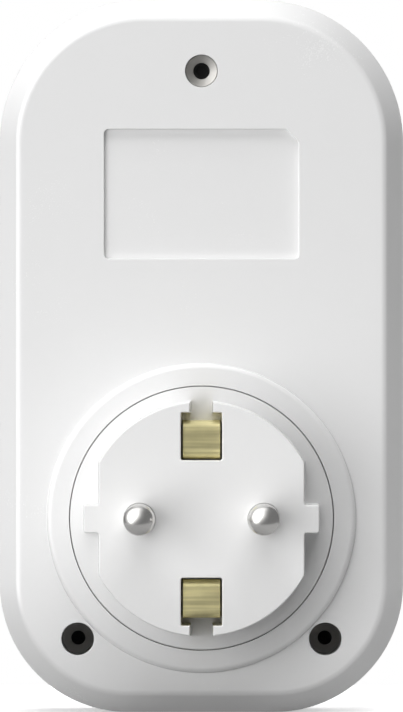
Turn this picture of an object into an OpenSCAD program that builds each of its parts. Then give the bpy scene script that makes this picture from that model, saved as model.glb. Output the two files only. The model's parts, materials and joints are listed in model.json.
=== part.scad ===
/* [Case] */
// Width of the case
case_w = 62; // [60:0.5:70]
// Height of the case
case_h = 109.5; // [108:0.5:118]
// Height of the plug's axis above the bottom of the case
axis_height = 29.85; // [29.5:0.05:32]
// Corner radius at the top of the case
top_r = 21.9; // [20:0.1:24]
// Corner radius at the bottom of the case
bottom_r = 19.7; // [18:0.1:22]
// Depth of the case, from its flat back to its flat front
case_depth = 41.3; // [41:0.1:46]
// Thickness of the side walls
wall = 2.0; // [1.8:0.1:2.4]
// Thickness of the back and front walls
face_wall = 2.2; // [2:0.1:2.6]
// Width and depth of the bevel round both faces
bevel = 2.85; // [1.5:0.05:3.2]
// Distance from the plug's end face to the line where the two shells part
parting_y = 40; // [39:0.5:42]

/* [Plug] */
// Height of the plug body above its flange
plug_h = 17.5; // [17.5:0.1:18]
// Diameter of the plug body
plug_d = 36; // [35:0.1:37]
// Distance across the plug body's two flats
flat_w = 31.6; // [31:0.1:32.5]
// Distance across the guide ribs that stand on the flats
rib_w = 36.16; // [35:0.02:36.4]
// Height of each guide rib
rib_h = 4.4; // [4:0.1:5]
// Distance between the two pins
pin_pitch = 19; // [19:0.1:19.2]
// Diameter of a pin
pin_d = 4.8; // [4.8:0.01:4.86]
// Length of a pin in front of the plug's end face
pin_l = 19; // [18.5:0.1:19.5]
// Diameter of the low round boss that the plug stands on
boss_d = 47.5; // [46:0.1:47.6]
// Height of that boss above the back of the case
boss_h = 1.2; // [0.8:0.1:1.6]
// Diameter of the plug insert's flange
flange_d = 40.4; // [40:0.1:41]
// Gap all round between the flange and the boss
flange_gap = 0.15; // [0.1:0.05:0.3]
// Width of each earth window
window_w = 6.12; // [5.8:0.02:6.4]
// Distance of an earth window's inner edge from the axis
window_in = 9.07; // [8.8:0.01:9.4]
// Distance of an earth window's outer edge from the axis
window_out = 16.2; // [16:0.05:16.5]
// Width of the slot from an earth window to the rim
slot_w = 3.4; // [3:0.1:4]

/* [Socket] */
// Diameter of the socket's recess
recess_d = 39.5; // [39:0.1:40]
// Depth of the socket's recess
recess_h = 17.5; // [17:0.1:18]
// Thickness of the recess's wall and floor
cup_wall = 1.85; // [1.6:0.05:2]
// Diameter of each pin hole in the socket's floor
pin_hole_d = 5.5; // [5.2:0.1:6]

/* [Display and buttons] */
// Width of the viewing window
view_w = 40; // [34:1:42]
// Height of the viewing window
view_h = 17; // [14:1:18]
// Height of the viewing window's centre above the plug's axis
view_z = 54.5; // [54:0.5:55]
// Width of a button
button_w = 8.4; // [7:0.1:9]
// Height of a button
button_h = 5.2; // [4.5:0.1:6]
// Gap all round a button
button_gap = 0.2; // [0.15:0.05:0.3]
// Distance between neighbouring buttons
button_pitch = 12; // [12:0.5:13]
// Height of the row of buttons above the plug's axis
button_z = 31.5; // [31:0.5:32]

/* [Label recess] */
// Width of the label recess in the back
label_w = 30; // [20:1:32]
// Height of the label recess
label_h = 20; // [14:1:22]
// Height of the label recess's lower edge above the plug's axis
label_z = 39.8; // [36:0.1:42]
// Depth of the label recess
label_depth = 0.9; // [0.3:0.1:1.2]

/* [Hidden] */
$fn = 48;

// The case in the plug's frame: Y runs from the plug's end face towards the front
case_top = case_h - axis_height;
case_bottom = -axis_height;
boss_y = plug_h;
back_y = boss_y + boss_h;
front_y = back_y + case_depth;
back_inside = back_y + face_wall;
front_inside = front_y - face_wall;
lip_h = 1.5;
lip_gap = 0.1;

// Case screws: one in a shallow hole at the top, two at the bottom of deep holes
top_screw = [0, 68.7];
low_screws = [[-19.02, -18.57], [19.02, -18.57]];
screw_hole_d = 5.0;
screw_head_d = 4.9;
screw_head_h = 2;
screw_shaft_d = 2.6;
screw_l = 11;
top_seat_y = back_y + 2.8;
low_seat_y = back_y + 15.3;
seat_t = 2;
sleeve_d = 7.6;
pillar_d = 6.4;
pillar_gap = 0.2;

// Small screws, all of one size
small_head_d = 3.8;
small_head_h = 1.4;
small_shaft_d = 2;
post_d = 4.6;
plug_ear = [25.2, 9];
plug_ear_y = back_inside + 1.5;
plug_ear_t = 1.6;
socket_ear = [25.4, 0];
socket_ear_y = front_inside - 5;
socket_ear_t = 2;
carrier_screw_z = 12.5;
board_posts = [[-22.5, 30], [22.5, 30], [-20, 66], [20, 66]];
display_posts = [[-26.2, 29], [26.2, 29], [-26.2, 58], [26.2, 58]];

// Plug insert
pin_x = pin_pitch / 2;
plug_skin = 3;
plug_wall = 2;
pin_neck_d = pin_d - 0.8;
skin_hole_d = pin_d + 0.06;
pin_root_d = pin_d + 0.6;
collar_y = 16;
collar_d = 7;
collar_t = 1.5;
pin_boss_d = 8.6;
web_w = 9.2;
inner_flange_d = 44.5;
inner_flange_y = back_inside + 1.5;
tail_d = 3;

// Metal strips
strip_t = 0.8;
earth_w = 5.7;
earth_z = 15.1;
bridge_y = inner_flange_y;
input_y = bridge_y + 0.8;
output_y = input_y + 1.4;
socket_earth_z = 22.8;
tab_z = 26;

// Socket insert and what is behind it
floor_y = front_y - recess_h;
floor_back = floor_y - 2;
cup_d = recess_d + 2 * cup_wall;
cup_flange_d = 45.6;
carrier_y = floor_back - 2.3;
carrier_t = 1.5;
contact_y = 26;
pivot_d = 3;
shutter_play = 0.06;
shutter_gap = 0.3;
wing_d = 7.2;
spacers = [[-15, 9], [15, 9], [-15, -9], [15, -9]];
earth_slot_w = 6.6;

// Circuit boards
board_t = 1.6;
board_y = 28;
board_front = board_y + board_t;
board_low = 24.8;
display_y = 50.4;
display_front = display_y + board_t;
display_low = 25;
display_high = 64.2;
link_z = 41;
link_pins = 8;
link_pitch = 2.54;

// Buttons, from left to right, and the small reset button above the row
button_x = [-1.5 * button_pitch, -0.5 * button_pitch, 0.5 * button_pitch, 1.5 * button_pitch];
reset_z = 38.6;
reset_d = 2.6;
button_back = front_inside - 1.6;
button_rise = 1.2;
button_flange = 1.1;
switch_top = display_front + 3.2;
plunger_d = 3.3;
plunger_l = 2;

// ---- Helpers --------------------------------------------------------------

// A flat outline in X and Z, made into a plate from one Y to another
module plate(from, to) {
    translate([0, to, 0])
        rotate([90, 0, 0])
            linear_extrude(to - from)
                children();
}

// An outline drawn in Y and Z, made into a strip centred on X = 0
module across(width) {
    translate([-width / 2, 0, 0])
        rotate([90, 0, 90])
            linear_extrude(width)
                children();
}

// A round bar along Y
module rod(at, d, from, to) {
    translate([at[0], to, at[1]])
        rotate([90, 0, 0])
            cylinder(h = to - from, d = d);
}

// A block between two opposite corners
module block(low, high) {
    translate(low)
        cube(high - low);
}

// The same shape on the left and, mirrored, on the right
module both_sides() {
    children();
    mirror([1, 0, 0])
        children();
}

// The case's outline, drawn in by an inset
module case_outline(inset) {
    side_low = case_bottom + bottom_r;
    side_high = case_top - top_r;
    for (side = [-1, 1]) {
        translate([side * (case_w / 2 - top_r), side_high])
            circle(r = top_r - inset);
        translate([side * (case_w / 2 - bottom_r), side_low])
            circle(r = bottom_r - inset);
    }
    translate([inset - case_w / 2, side_low])
        square([case_w - 2 * inset, side_high - side_low]);
    translate([top_r - case_w / 2, side_high])
        square([case_w - 2 * top_r, top_r - inset]);
    translate([bottom_r - case_w / 2, case_bottom + inset])
        square([case_w - 2 * bottom_r, bottom_r - inset]);
}

// The bevelled end of the case, with its narrow end at one Y and its full width at the other
module case_bevel(narrow, wide) {
    side_low = case_bottom + bottom_r;
    side_high = case_top - top_r;
    for (side = [-1, 1]) {
        bevel_corner([side * (case_w / 2 - top_r), side_high], top_r, narrow, wide);
        bevel_corner([side * (case_w / 2 - bottom_r), side_low], bottom_r, narrow, wide);
    }
    translate([0, 0, side_low])
        linear_extrude(side_high - side_low)
            polygon([
                [-case_w / 2, wide], [case_w / 2, wide],
                [case_w / 2 - bevel, narrow], [bevel - case_w / 2, narrow]
            ]);
    across(case_w - 2 * top_r)
        polygon([
            [wide, side_high], [wide, case_top],
            [narrow, case_top - bevel], [narrow, side_high]
        ]);
    across(case_w - 2 * bottom_r)
        polygon([
            [wide, side_low], [wide, case_bottom],
            [narrow, case_bottom + bevel], [narrow, side_low]
        ]);
}

// One rounded corner of the bevel, a cone
module bevel_corner(at, r, narrow, wide) {
    low = min(narrow, wide);
    high = max(narrow, wide);
    r_low = narrow < wide ? r - bevel : r;
    r_high = narrow < wide ? r : r - bevel;
    translate([at[0], high, at[1]])
        rotate([90, 0, 0])
            cylinder(h = high - low, r1 = r_high, r2 = r_low);
}

// A screw along Y: its seat, the way it points and its sizes
module screw(at, seat, way, length, shaft_d, head_d, head_h) {
    head_low = way > 0 ? seat - head_h : seat;
    shaft_low = way > 0 ? seat : seat - length;
    driver_h = head_h * 0.65;
    driver_low = way > 0 ? head_low - 1 : seat + head_h - driver_h;
    difference() {
        union() {
            rod(at, head_d, head_low, head_low + head_h);
            rod(at, shaft_d, shaft_low, shaft_low + length);
        }
        plate(driver_low, driver_low + driver_h + 1)
            translate(at)
                star_recess(head_d * 0.55);
    }
}

// The outline of a six-lobed driver recess
module star_recess(across_lobes) {
    lobe_d = across_lobes * 0.26;
    circle(d = across_lobes * 0.78);
    for (i = [0:5])
        rotate(60 * i)
            translate([(across_lobes - lobe_d) / 2, 0])
                circle(d = lobe_d);
}

// A quarter of a bent strip, drawn in Y and Z, on one side of its centre
module bend(y, z, r, way_y, way_z) {
    translate([y, z])
        intersection() {
            difference() {
                circle(r = r);
                circle(r = r - strip_t);
            }
            translate([min(0, way_y * r), min(0, way_z * r)])
                square(r);
        }
}

// ---- Casing ---------------------------------------------------------------

module rear_casing() {
    color("whitesmoke")
        difference() {
            union() {
                rear_shell();
                rod(top_screw, sleeve_d, back_inside - 1, top_seat_y + seat_t);
                for (at = low_screws)
                    rod(at, sleeve_d, back_inside - 1, low_seat_y + seat_t);
                for (at = board_posts)
                    rod(at, post_d, back_inside - 1, board_y);
                for (side = [-1, 1])
                    rod([side * plug_ear[0], plug_ear[1]], post_d, back_inside - 1, plug_ear_y);
            }
            screw_hole(top_screw, top_seat_y);
            for (at = low_screws)
                screw_hole(at, low_seat_y);
            for (at = board_posts)
                rod(at, small_shaft_d, board_y - 6, board_y + 1);
            for (side = [-1, 1])
                rod([side * plug_ear[0], plug_ear[1]], small_shaft_d, plug_ear_y - 3, plug_ear_y + 1);
        }
}

module rear_shell() {
    difference() {
        union() {
            case_bevel(back_y, back_y + bevel);
            plate(back_y + bevel, parting_y)
                case_outline(0);
            rod([0, 0], boss_d, boss_y, back_y + 1);
        }
        plate(back_inside, parting_y + 1)
            case_outline(wall);
        plate(parting_y - lip_h - lip_gap, parting_y + 1)
            case_outline(wall / 2);
        plate(back_y - 1, back_y + label_depth)
            label_outline();
        rod([0, 0], flange_d + 2 * flange_gap, boss_y - 1, back_inside + 1);
    }
}

// The label recess, with its upper right corner cut off
module label_outline() {
    cut = 2;
    translate([-label_w / 2, label_z])
        polygon([
            [0, 0], [label_w, 0], [label_w, label_h - cut],
            [label_w - cut, label_h], [0, label_h]
        ]);
}

// The stepped hole that takes a case screw
module screw_hole(at, seat) {
    rod(at, screw_hole_d, boss_y - 1, seat);
    rod(at, screw_shaft_d + 0.2, seat - 1, seat + seat_t + 1);
}

module front_casing() {
    color("whitesmoke")
        difference() {
            union() {
                front_shell();
                rod(top_screw, pillar_d, top_seat_y + seat_t + pillar_gap, front_inside + 1);
                for (at = low_screws)
                    rod(at, pillar_d, low_seat_y + seat_t + pillar_gap, front_inside + 1);
                for (at = display_posts)
                    rod(at, post_d, display_front, front_inside + 1);
                for (side = [-1, 1])
                    rod([side * socket_ear[0], socket_ear[1]], post_d, socket_ear_y, front_inside + 1);
            }
            rod(top_screw, screw_shaft_d, top_seat_y, top_seat_y + screw_l + 2);
            for (at = low_screws)
                rod(at, screw_shaft_d, low_seat_y, low_seat_y + screw_l + 2);
            for (at = display_posts)
                rod(at, small_shaft_d, display_front - 1, display_front + 5);
            for (side = [-1, 1])
                rod([side * socket_ear[0], socket_ear[1]], small_shaft_d, socket_ear_y - 1, socket_ear_y + 5);
        }
}

module front_shell() {
    difference() {
        union() {
            case_bevel(front_y, front_y - bevel);
            plate(parting_y, front_y - bevel)
                case_outline(0);
            plate(parting_y - lip_h, parting_y + 1)
                case_outline(wall / 2 + lip_gap);
        }
        plate(parting_y - lip_h - 1, front_inside)
            case_outline(wall);
        rod([0, 0], cup_d + 0.3, front_inside - 1, front_y + 1);
        plate(front_inside - 1, front_y + 1)
            translate([0, view_z])
                square([view_w, view_h], center = true);
        plate(front_y - 1.2, front_y + 1)
            lens_outline(0.1);
        for (x = button_x)
            plate(front_inside - 1, front_y + 1)
                translate([x, button_z])
                    button_outline(button_gap);
        rod([0, reset_z], reset_d + 2 * button_gap, front_inside - 1, front_y + 1);
    }
}

// The lens that covers the viewing window, with rounded corners
module lens_outline(grow) {
    lens_w = view_w + 7;
    lens_h = view_h + 6.4;
    r = 2;
    translate([0, view_z]) {
        square([lens_w + 2 * grow, lens_h - 2 * r], center = true);
        square([lens_w - 2 * r, lens_h + 2 * grow], center = true);
        for (x = [-1, 1], z = [-1, 1])
            translate([x * (lens_w / 2 - r), z * (lens_h / 2 - r)])
                circle(r = r + grow);
    }
}

// A button's outline: a bar with round ends
module button_outline(grow) {
    square([button_w - button_h, button_h + 2 * grow], center = true);
    for (side = [-1, 1])
        translate([side * (button_w - button_h) / 2, 0])
            circle(d = button_h + 2 * grow);
}

module window_lens() {
    color("lightblue", 0.5)
        plate(front_y - 1.2, front_y)
            lens_outline(0);
}

module case_screws() {
    color("silver") {
        screw(top_screw, top_seat_y, 1, screw_l, screw_shaft_d, screw_head_d, screw_head_h);
        for (at = low_screws)
            screw(at, low_seat_y, 1, screw_l, screw_shaft_d, screw_head_d, screw_head_h);
    }
}

// A row of small screws that sit on one face
module small_screws(places, seat, way, length) {
    color("silver")
        for (at = places)
            screw(at, seat, way, length, small_shaft_d, small_head_d, small_head_h);
}

module plug_screws() {
    small_screws([[-plug_ear[0], plug_ear[1]], plug_ear], plug_ear_y + plug_ear_t, -1, 4);
}

module socket_screws() {
    small_screws([[-socket_ear[0], socket_ear[1]], socket_ear], socket_ear_y - socket_ear_t, 1, 6);
}

module carrier_screws() {
    small_screws([[0, -carrier_screw_z], [0, carrier_screw_z]], carrier_y - carrier_t, 1, 5);
}

module board_screws() {
    small_screws(board_posts, board_front, -1, 6);
}

module display_screws() {
    small_screws(display_posts, display_y, 1, 6);
}

// ---- Plug -----------------------------------------------------------------

// The plug body's outline without its ribs: a circle with two flats
module plug_outline(inset) {
    intersection() {
        circle(d = plug_d - 2 * inset);
        square([flat_w - 2 * inset, plug_d], center = true);
    }
}

module plug_insert() {
    color("whitesmoke")
        difference() {
            union() {
                plate(0, boss_y)
                    plug_outline(0);
                block([-rib_w / 2, 0, -rib_h / 2], [rib_w / 2, boss_y, rib_h / 2]);
                rod([0, 0], flange_d, boss_y, back_inside);
                rod([0, 0], inner_flange_d, back_inside, inner_flange_y);
                both_sides()
                    plug_lug();
            }
            both_sides()
                plug_pocket();
            block([-2.6, plug_skin, -7.5], [2.6, inner_flange_y + 1, 7.5]);
            earth_chamber();
            mirror([0, 0, 1])
                earth_chamber();
            both_sides() {
                rod([pin_x, 0], skin_hole_d, -1, plug_skin);
                rod([pin_x, 0], pin_root_d, plug_skin, collar_y + 1);
            }
        }
}

// The ear that a plug screw holds down
module plug_lug() {
    difference() {
        union() {
            block([18.9, back_inside, 6], [22.3, plug_ear_y + plug_ear_t, 12]);
            block([22, plug_ear_y, 6.7], [plug_ear[0], plug_ear_y + plug_ear_t, 11.3]);
            rod(plug_ear, post_d, plug_ear_y, plug_ear_y + plug_ear_t);
        }
        rod(plug_ear, small_shaft_d, plug_ear_y - 1, plug_ear_y + plug_ear_t + 1);
    }
}

// The hollow round one pin's boss
module plug_pocket() {
    difference() {
        plate(plug_skin, inner_flange_y + 1)
            intersection() {
                plug_outline(plug_wall);
                translate([web_w / 2, -plug_d / 2])
                    square([plug_d, plug_d]);
            }
        rod([pin_x, 0], pin_boss_d, plug_skin - 1, collar_y);
    }
}

// The upper earth window, the slot beside it and the slit that lets the strap through
module earth_chamber() {
    block([-window_w / 2, -1, window_in], [window_w / 2, boss_y, window_out]);
    block([-slot_w / 2, -1, window_out - 1], [slot_w / 2, boss_y, plug_d]);
    block([-window_w / 2, boss_y - 1, earth_z - strip_t], [window_w / 2, inner_flange_y + 1, earth_z]);
}

// A solid pin with a round tip, a neck, a root, a collar and a riveted tail
module plug_pin(side) {
    straight_y = pin_d / 2 - pin_l;
    color("silver") {
        rod([side * pin_x, 0], pin_d, straight_y, 0);
        rod([side * pin_x, 0], pin_neck_d, 0, plug_skin);
        rod([side * pin_x, 0], pin_root_d, plug_skin, collar_y);
        translate([side * pin_x, straight_y, 0])
            sphere(d = pin_d);
        rod([side * pin_x, 0], collar_d, collar_y, collar_y + collar_t);
        rod([side * pin_x, 0], tail_d, collar_y + collar_t, collar_y + collar_t + strip_t);
        rod([side * pin_x, 0], tail_d + 1, collar_y + collar_t + strip_t, collar_y + collar_t + 2);
    }
}

module live_pin() {
    plug_pin(-1);
}

module neutral_pin() {
    plug_pin(1);
}

// The upper earth strap: down the side of the plug, over its end and back in
module plug_earth() {
    r = 1.2;
    top_y = 0.8;
    side_y = top_y + r;
    tip_z = 10.4;
    tip_l = 3.8;
    color("darkkhaki")
        across(earth_w) {
            translate([side_y, earth_z - strip_t])
                square([bridge_y - side_y, strip_t]);
            bend(side_y, earth_z - r, r, -1, 1);
            translate([top_y, tip_z])
                square([strip_t, earth_z - r - tip_z]);
            bend(side_y, tip_z, r, -1, -1);
            translate([side_y, tip_z - r])
                square([tip_l, strip_t]);
        }
}

module plug_earth_upper() {
    plug_earth();
}

module plug_earth_lower() {
    mirror([0, 0, 1])
        plug_earth();
}

// ---- Current path ---------------------------------------------------------

// The bar that joins the four earth contacts
module earth_bridge() {
    color("darkkhaki")
        block([-3, bridge_y, -socket_earth_z], [3, bridge_y + strip_t, socket_earth_z]);
}

// The strip from a pin's tail to the main board
module input_strip() {
    pin_y = collar_y + collar_t;
    color("darkkhaki")
        difference() {
            union() {
                block([-12, pin_y, -3], [-7, pin_y + strip_t, 8]);
                block([-12, pin_y, 8 - strip_t], [-7, input_y + strip_t, 8]);
                block([-18.5, input_y, 4], [-7, input_y + strip_t, 8]);
                block([-18.5, input_y, 4], [-14.5, input_y + strip_t, tab_z + strip_t]);
                block([-18, input_y, tab_z], [-15, board_front + 1, tab_z + strip_t]);
            }
            rod([-pin_x, 0], tail_d, pin_y - 1, pin_y + strip_t + 1);
        }
}

module live_input_strip() {
    input_strip();
}

module neutral_input_strip() {
    mirror([1, 0, 0])
        input_strip();
}

// The strip from the main board to a socket contact
module output_strip() {
    color("darkkhaki") {
        block([-12, output_y, -3], [-7, output_y + strip_t, tab_z + strip_t]);
        block([-11, output_y, tab_z], [-8, board_front + 1, tab_z + strip_t]);
    }
}

module live_output_strip() {
    output_strip();
}

module neutral_output_strip() {
    mirror([1, 0, 0])
        output_strip();
}

// The socket's contact for one pin: a base and two sprung leaves
module socket_contact(side) {
    base_y = output_y + strip_t;
    leaf = [
        [base_y + strip_t, 3.2], [contact_y + 8, 2.2], [carrier_y - 1, 3],
        [carrier_y - 1.4, 3.7], [contact_y + 8, 3], [base_y + strip_t, 3.6]
    ];
    color("darkkhaki")
        translate([side * pin_x, 0, 0]) {
            block([-3, base_y, -3.6], [3, base_y + strip_t, 3.6]);
            across(5)
                polygon(leaf);
            mirror([0, 0, 1])
                across(5)
                    polygon(leaf);
        }
}

module live_contact() {
    socket_contact(-1);
}

module neutral_contact() {
    socket_contact(1);
}

// The socket's upper earth clip: up outside the recess, in through its wall and bowed inwards
module socket_earth() {
    r = 1.8;
    fold_y = front_inside - 0.8;
    low_y = fold_y - r;
    bow_y = floor_y + 7.5;
    bow_z = 15.8;
    color("darkkhaki")
        across(5) {
            translate([bridge_y + strip_t, socket_earth_z - strip_t])
                square([low_y - bridge_y - strip_t, strip_t]);
            bend(low_y, socket_earth_z - r, r, 1, 1);
            polygon([
                [fold_y - strip_t, socket_earth_z - r], [fold_y - strip_t, 19.2], [bow_y, bow_z + 0.9],
                [floor_y + 2.5, 19.2], [floor_y + 2.2, 18.4], [bow_y, bow_z],
                [fold_y, 18.7], [fold_y, socket_earth_z - r]
            ]);
        }
}

module socket_earth_upper() {
    socket_earth();
}

module socket_earth_lower() {
    mirror([0, 0, 1])
        socket_earth();
}

// ---- Socket ---------------------------------------------------------------

module socket_insert() {
    color("whitesmoke")
        difference() {
            union() {
                socket_cup();
                rod([0, 0], pivot_d, carrier_y, floor_back + 0.5);
                both_sides()
                    socket_lug();
            }
            for (side = [-1, 1]) {
                rod([side * pin_x, 0], pin_hole_d, floor_back - 1, floor_y + 1);
                rod([0, side * carrier_screw_z], small_shaft_d, floor_back - 1, floor_back + 1.4);
                rod([side * socket_ear[0], 0], small_shaft_d, socket_ear_y - 3, socket_ear_y + 1);
            }
        }
}

// The recess with its flange, its guide walls and the slots for the earth clips
module socket_cup() {
    slot_low = floor_y + 1;
    slot_high = front_inside - 0.4;
    difference() {
        union() {
            rod([0, 0], cup_d, floor_back, front_y);
            rod([0, 0], cup_flange_d, slot_high - 2, slot_high);
        }
        plate(floor_y, front_y + 1)
            recess_outline();
        for (side = [-1, 1])
            block(
                [-earth_slot_w / 2, slot_low, side > 0 ? 15 : -25],
                [earth_slot_w / 2, slot_high + 0.1, side > 0 ? 25 : -15]
            );
    }
}

// The recess's outline: a circle narrowed by guide walls that leave room for a plug's ribs
module recess_outline() {
    clearance = 1.2;
    difference() {
        circle(d = recess_d);
        for (x = [-1, 1], z = [-1, 1])
            translate([x * (flat_w / 2 + clearance + 5), z * (rib_h / 2 + 0.6 + 3)])
                square([10, 6], center = true);
    }
}

// The ear that a socket screw holds down
module socket_lug() {
    low = socket_ear_y - socket_ear_t;
    rod(socket_ear, post_d, low, socket_ear_y);
    block([cup_d / 2 - 1, low, -post_d / 2], [socket_ear[0], socket_ear_y, post_d / 2]);
}

// The insulating block behind the socket's floor
module contact_carrier() {
    back = carrier_y - carrier_t;
    tube_w = 9.4;
    room_w = 7.8;
    color("gainsboro")
        difference() {
            union() {
                rod([0, 0], 39, back, carrier_y);
                for (at = spacers)
                    rod(at, 4, carrier_y - 0.5, floor_back);
                for (side = [-1, 1]) {
                    rod([0, side * carrier_screw_z], post_d, carrier_y - 0.5, floor_back);
                    block(
                        [side * pin_x - tube_w / 2, contact_y + 1, -tube_w / 2],
                        [side * pin_x + tube_w / 2, back + 0.5, tube_w / 2]
                    );
                }
            }
            for (side = [-1, 1]) {
                rod([0, side * carrier_screw_z], small_shaft_d, back - 1, floor_back + 1);
                block(
                    [side * pin_x - room_w / 2, contact_y, -room_w / 2],
                    [side * pin_x + room_w / 2, carrier_y + 1, room_w / 2]
                );
            }
        }
}

// The child-protection shutter: two wings on a hub that turns on the insert's pivot
module shutter() {
    low = carrier_y + shutter_gap;
    high = floor_back - shutter_gap;
    color("tomato")
        difference() {
            union() {
                rod([0, 0], 7, low, high);
                block([-pin_x, low, -1.8], [pin_x, high, 1.8]);
                for (side = [-1, 1])
                    rod([side * pin_x, 0], wing_d, low, high);
            }
            rod([0, 0], pivot_d + 2 * shutter_play, low - 1, high + 1);
        }
}

// The wire spring that holds the shutter closed: a coil round a post, with one leg on the wing
// and the other against the lower post
module shutter_spring() {
    wire_d = 0.5;
    coil_r = 2.6;
    wing_leg_l = 5.6;
    wing_leg_turn = 195;
    post_leg_l = 18;
    mid_y = (carrier_y + floor_back) / 2;
    post = spacers[1];
    color("lightsteelblue") {
        translate([post[0], mid_y, post[1]])
            rotate([90, 0, 0])
                rotate_extrude()
                    translate([coil_r, 0])
                        circle(d = wire_d);
        translate([post[0] - coil_r, mid_y, post[1]])
            rotate([0, wing_leg_turn, 0])
                cylinder(h = wing_leg_l, d = wire_d);
        translate([post[0] + coil_r, mid_y, post[1]])
            rotate([0, 180, 0])
                cylinder(h = post_leg_l, d = wire_d);
    }
}

// ---- Main board -----------------------------------------------------------

module main_board() {
    color("seagreen")
        difference() {
            plate(board_y, board_front)
                intersection() {
                    case_outline(wall + 1.2);
                    translate([-case_w / 2, board_low])
                        square([case_w, case_h]);
                }
            rod(top_screw, pillar_d + 1.6, board_y - 1, board_front + 1);
            for (at = board_posts)
                rod(at, small_shaft_d, board_y - 1, board_front + 1);
            for (x = [-16.5, -9.5, 9.5, 16.5])
                block([x - 1.6, board_y - 1, tab_z - 0.1], [x + 1.6, board_front + 1, tab_z + strip_t + 0.1]);
        }
}

// The shunt, a strip of resistance metal that the live current flows through
module current_shunt() {
    color("tan") {
        block([-17.5, board_front, 28.4], [-16.7, board_front + 5, 30.4]);
        block([-9.3, board_front, 28.4], [-8.5, board_front + 5, 30.4]);
        block([-17.5, board_front + 4.2, 28.4], [-8.5, board_front + 5, 30.4]);
    }
}

// A round piece lying along X
module log_x(from, to, y, z, d) {
    translate([from, y, z])
        rotate([0, 90, 0])
            cylinder(h = to - from, d = d);
}

module fuse() {
    color("ivory")
        log_x(-18, -8, board_front + 4.4, 36.2, 4.6);
    color("silver") {
        log_x(-23, -18, board_front + 4.4, 36.2, 5.2);
        log_x(-8, -3, board_front + 4.4, 36.2, 5.2);
    }
}

module fuse_clips() {
    color("silver")
        for (x = [-22.5, -7.5]) {
            block([x, board_front, 33], [x + 4, board_front + 0.8, 39.4]);
            block([x, board_front, 33], [x + 4, board_front + 6.5, 33.55]);
            block([x, board_front, 38.85], [x + 4, board_front + 6.5, 39.4]);
        }
}

module varistor() {
    color("royalblue")
        log_x(1.5, 5.5, board_front + 6.4, 32.6, 10);
    color("silver")
        for (z = [30.2, 35])
            rod([3.5, z], 0.7, board_front, board_front + 3);
}

module film_capacitor() {
    color("gold")
        block([-25, board_front, 49.5], [-8, board_front + 14.5, 57.9]);
}

module smoothing_capacitor() {
    color("midnightblue")
        rod([18.5, 52], 10, board_front, board_front + 16);
}

module dropper_resistor() {
    color("steelblue")
        log_x(-24.5, -13.5, board_front + 2.6, 44.6, 4.6);
    color("silver")
        for (x = [-26, -12.8])
            block([x, board_front, 44.2], [x + 0.8, board_front + 3, 45]);
    color("silver") {
        log_x(-25.6, -24.5, board_front + 2.6, 44.6, 0.8);
        log_x(-13.5, -12.4, board_front + 2.6, 44.6, 0.8);
    }
}

module bridge_rectifier() {
    color("dimgray")
        block([13.5, board_front + 0.6, 36.2], [22, board_front + 3.9, 42.7]);
    color("silver")
        for (x = [14.6, 19.4], z = [35.2, 42.7])
            block([x, board_front, z], [x + 1.4, board_front + 2.4, z + 1]);
}

// A chip package with legs along its two long sides
module leaded_chip(low_x, low_z, length, width, height, legs) {
    pitch = (length - 1.4) / (legs - 1);
    color("dimgray")
        block(
            [low_x, board_front + 0.2, low_z],
            [low_x + length, board_front + height, low_z + width]
        );
    color("silver")
        for (i = [0:legs - 1], z = [low_z - 1.2, low_z + width])
            translate([low_x + 0.5 + i * pitch, board_front, z])
                cube([0.4, 0.9, 1.2]);
}

module metering_chip() {
    leaded_chip(-3.6, 55, 15.2, 7.4, 2.5, 12);
}

module crystal() {
    color("silver") {
        block([-1.4, board_front, 47.4], [5.4, board_front + 3.4, 51.4]);
        for (x = [-1.4, 5.4])
            rod([x, 49.4], 4, board_front, board_front + 3.4);
    }
}

// The row of pins that joins the main board to the display board
module link_header() {
    low_x = -link_pins * link_pitch / 2;
    color("dimgray")
        block([low_x, board_front, link_z - 1.25], [-low_x, board_front + 2.5, link_z + 1.25]);
    color("gold")
        for (i = [0:link_pins - 1])
            translate([low_x + (i + 0.5) * link_pitch - 0.32, board_front + 2, link_z - 0.32])
                cube([0.64, 13, 0.64]);
}

module link_socket() {
    low_x = -link_pins * link_pitch / 2;
    socket_l = 8.4;
    color("dimgray")
        difference() {
            block([low_x, display_y - socket_l, link_z - 1.25], [-low_x, display_y, link_z + 1.25]);
            for (i = [0:link_pins - 1])
                translate([low_x + (i + 0.5) * link_pitch - 0.45, display_y - socket_l - 1, link_z - 0.45])
                    cube([0.9, 5, 0.9]);
        }
}

// ---- Display --------------------------------------------------------------

module display_board() {
    color("seagreen")
        difference() {
            plate(display_y, display_front)
                intersection() {
                    case_outline(wall + 0.6);
                    translate([-case_w / 2, display_low])
                        square([case_w, display_high - display_low]);
                }
            for (at = display_posts)
                rod(at, small_shaft_d, display_y - 1, display_front + 1);
        }
}

module microcontroller() {
    size = 11;
    low = [-14, 49];
    legs = 9;
    pitch = (size - 1.4) / (legs - 1);
    color("dimgray")
        block([low[0], display_y - 1.6, low[1]], [low[0] + size, display_y - 0.1, low[1] + size]);
    color("silver")
        for (i = [0:legs - 1]) {
            for (z = [low[1] - 1, low[1] + size])
                translate([low[0] + 0.5 + i * pitch, display_y - 0.6, z])
                    cube([0.4, 0.6, 1]);
            for (x = [low[0] - 1, low[0] + size])
                translate([x, display_y - 0.6, low[1] + 0.5 + i * pitch])
                    cube([1, 0.6, 0.4]);
        }
}

// A button cell that keeps the clock and the totals, with its two welded tags
module backup_cell() {
    cell_at = [12.6, 52.4];
    color("silver") {
        rod(cell_at, 16, display_y - 3.6, display_y - 0.4);
        block([cell_at[0] - 2, display_y - 0.4, 43.2], [cell_at[0] + 2, display_y, 47]);
        block([cell_at[0] - 2, display_y - 0.4, 57.8], [cell_at[0] + 2, display_y, 61.6]);
    }
}

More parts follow.
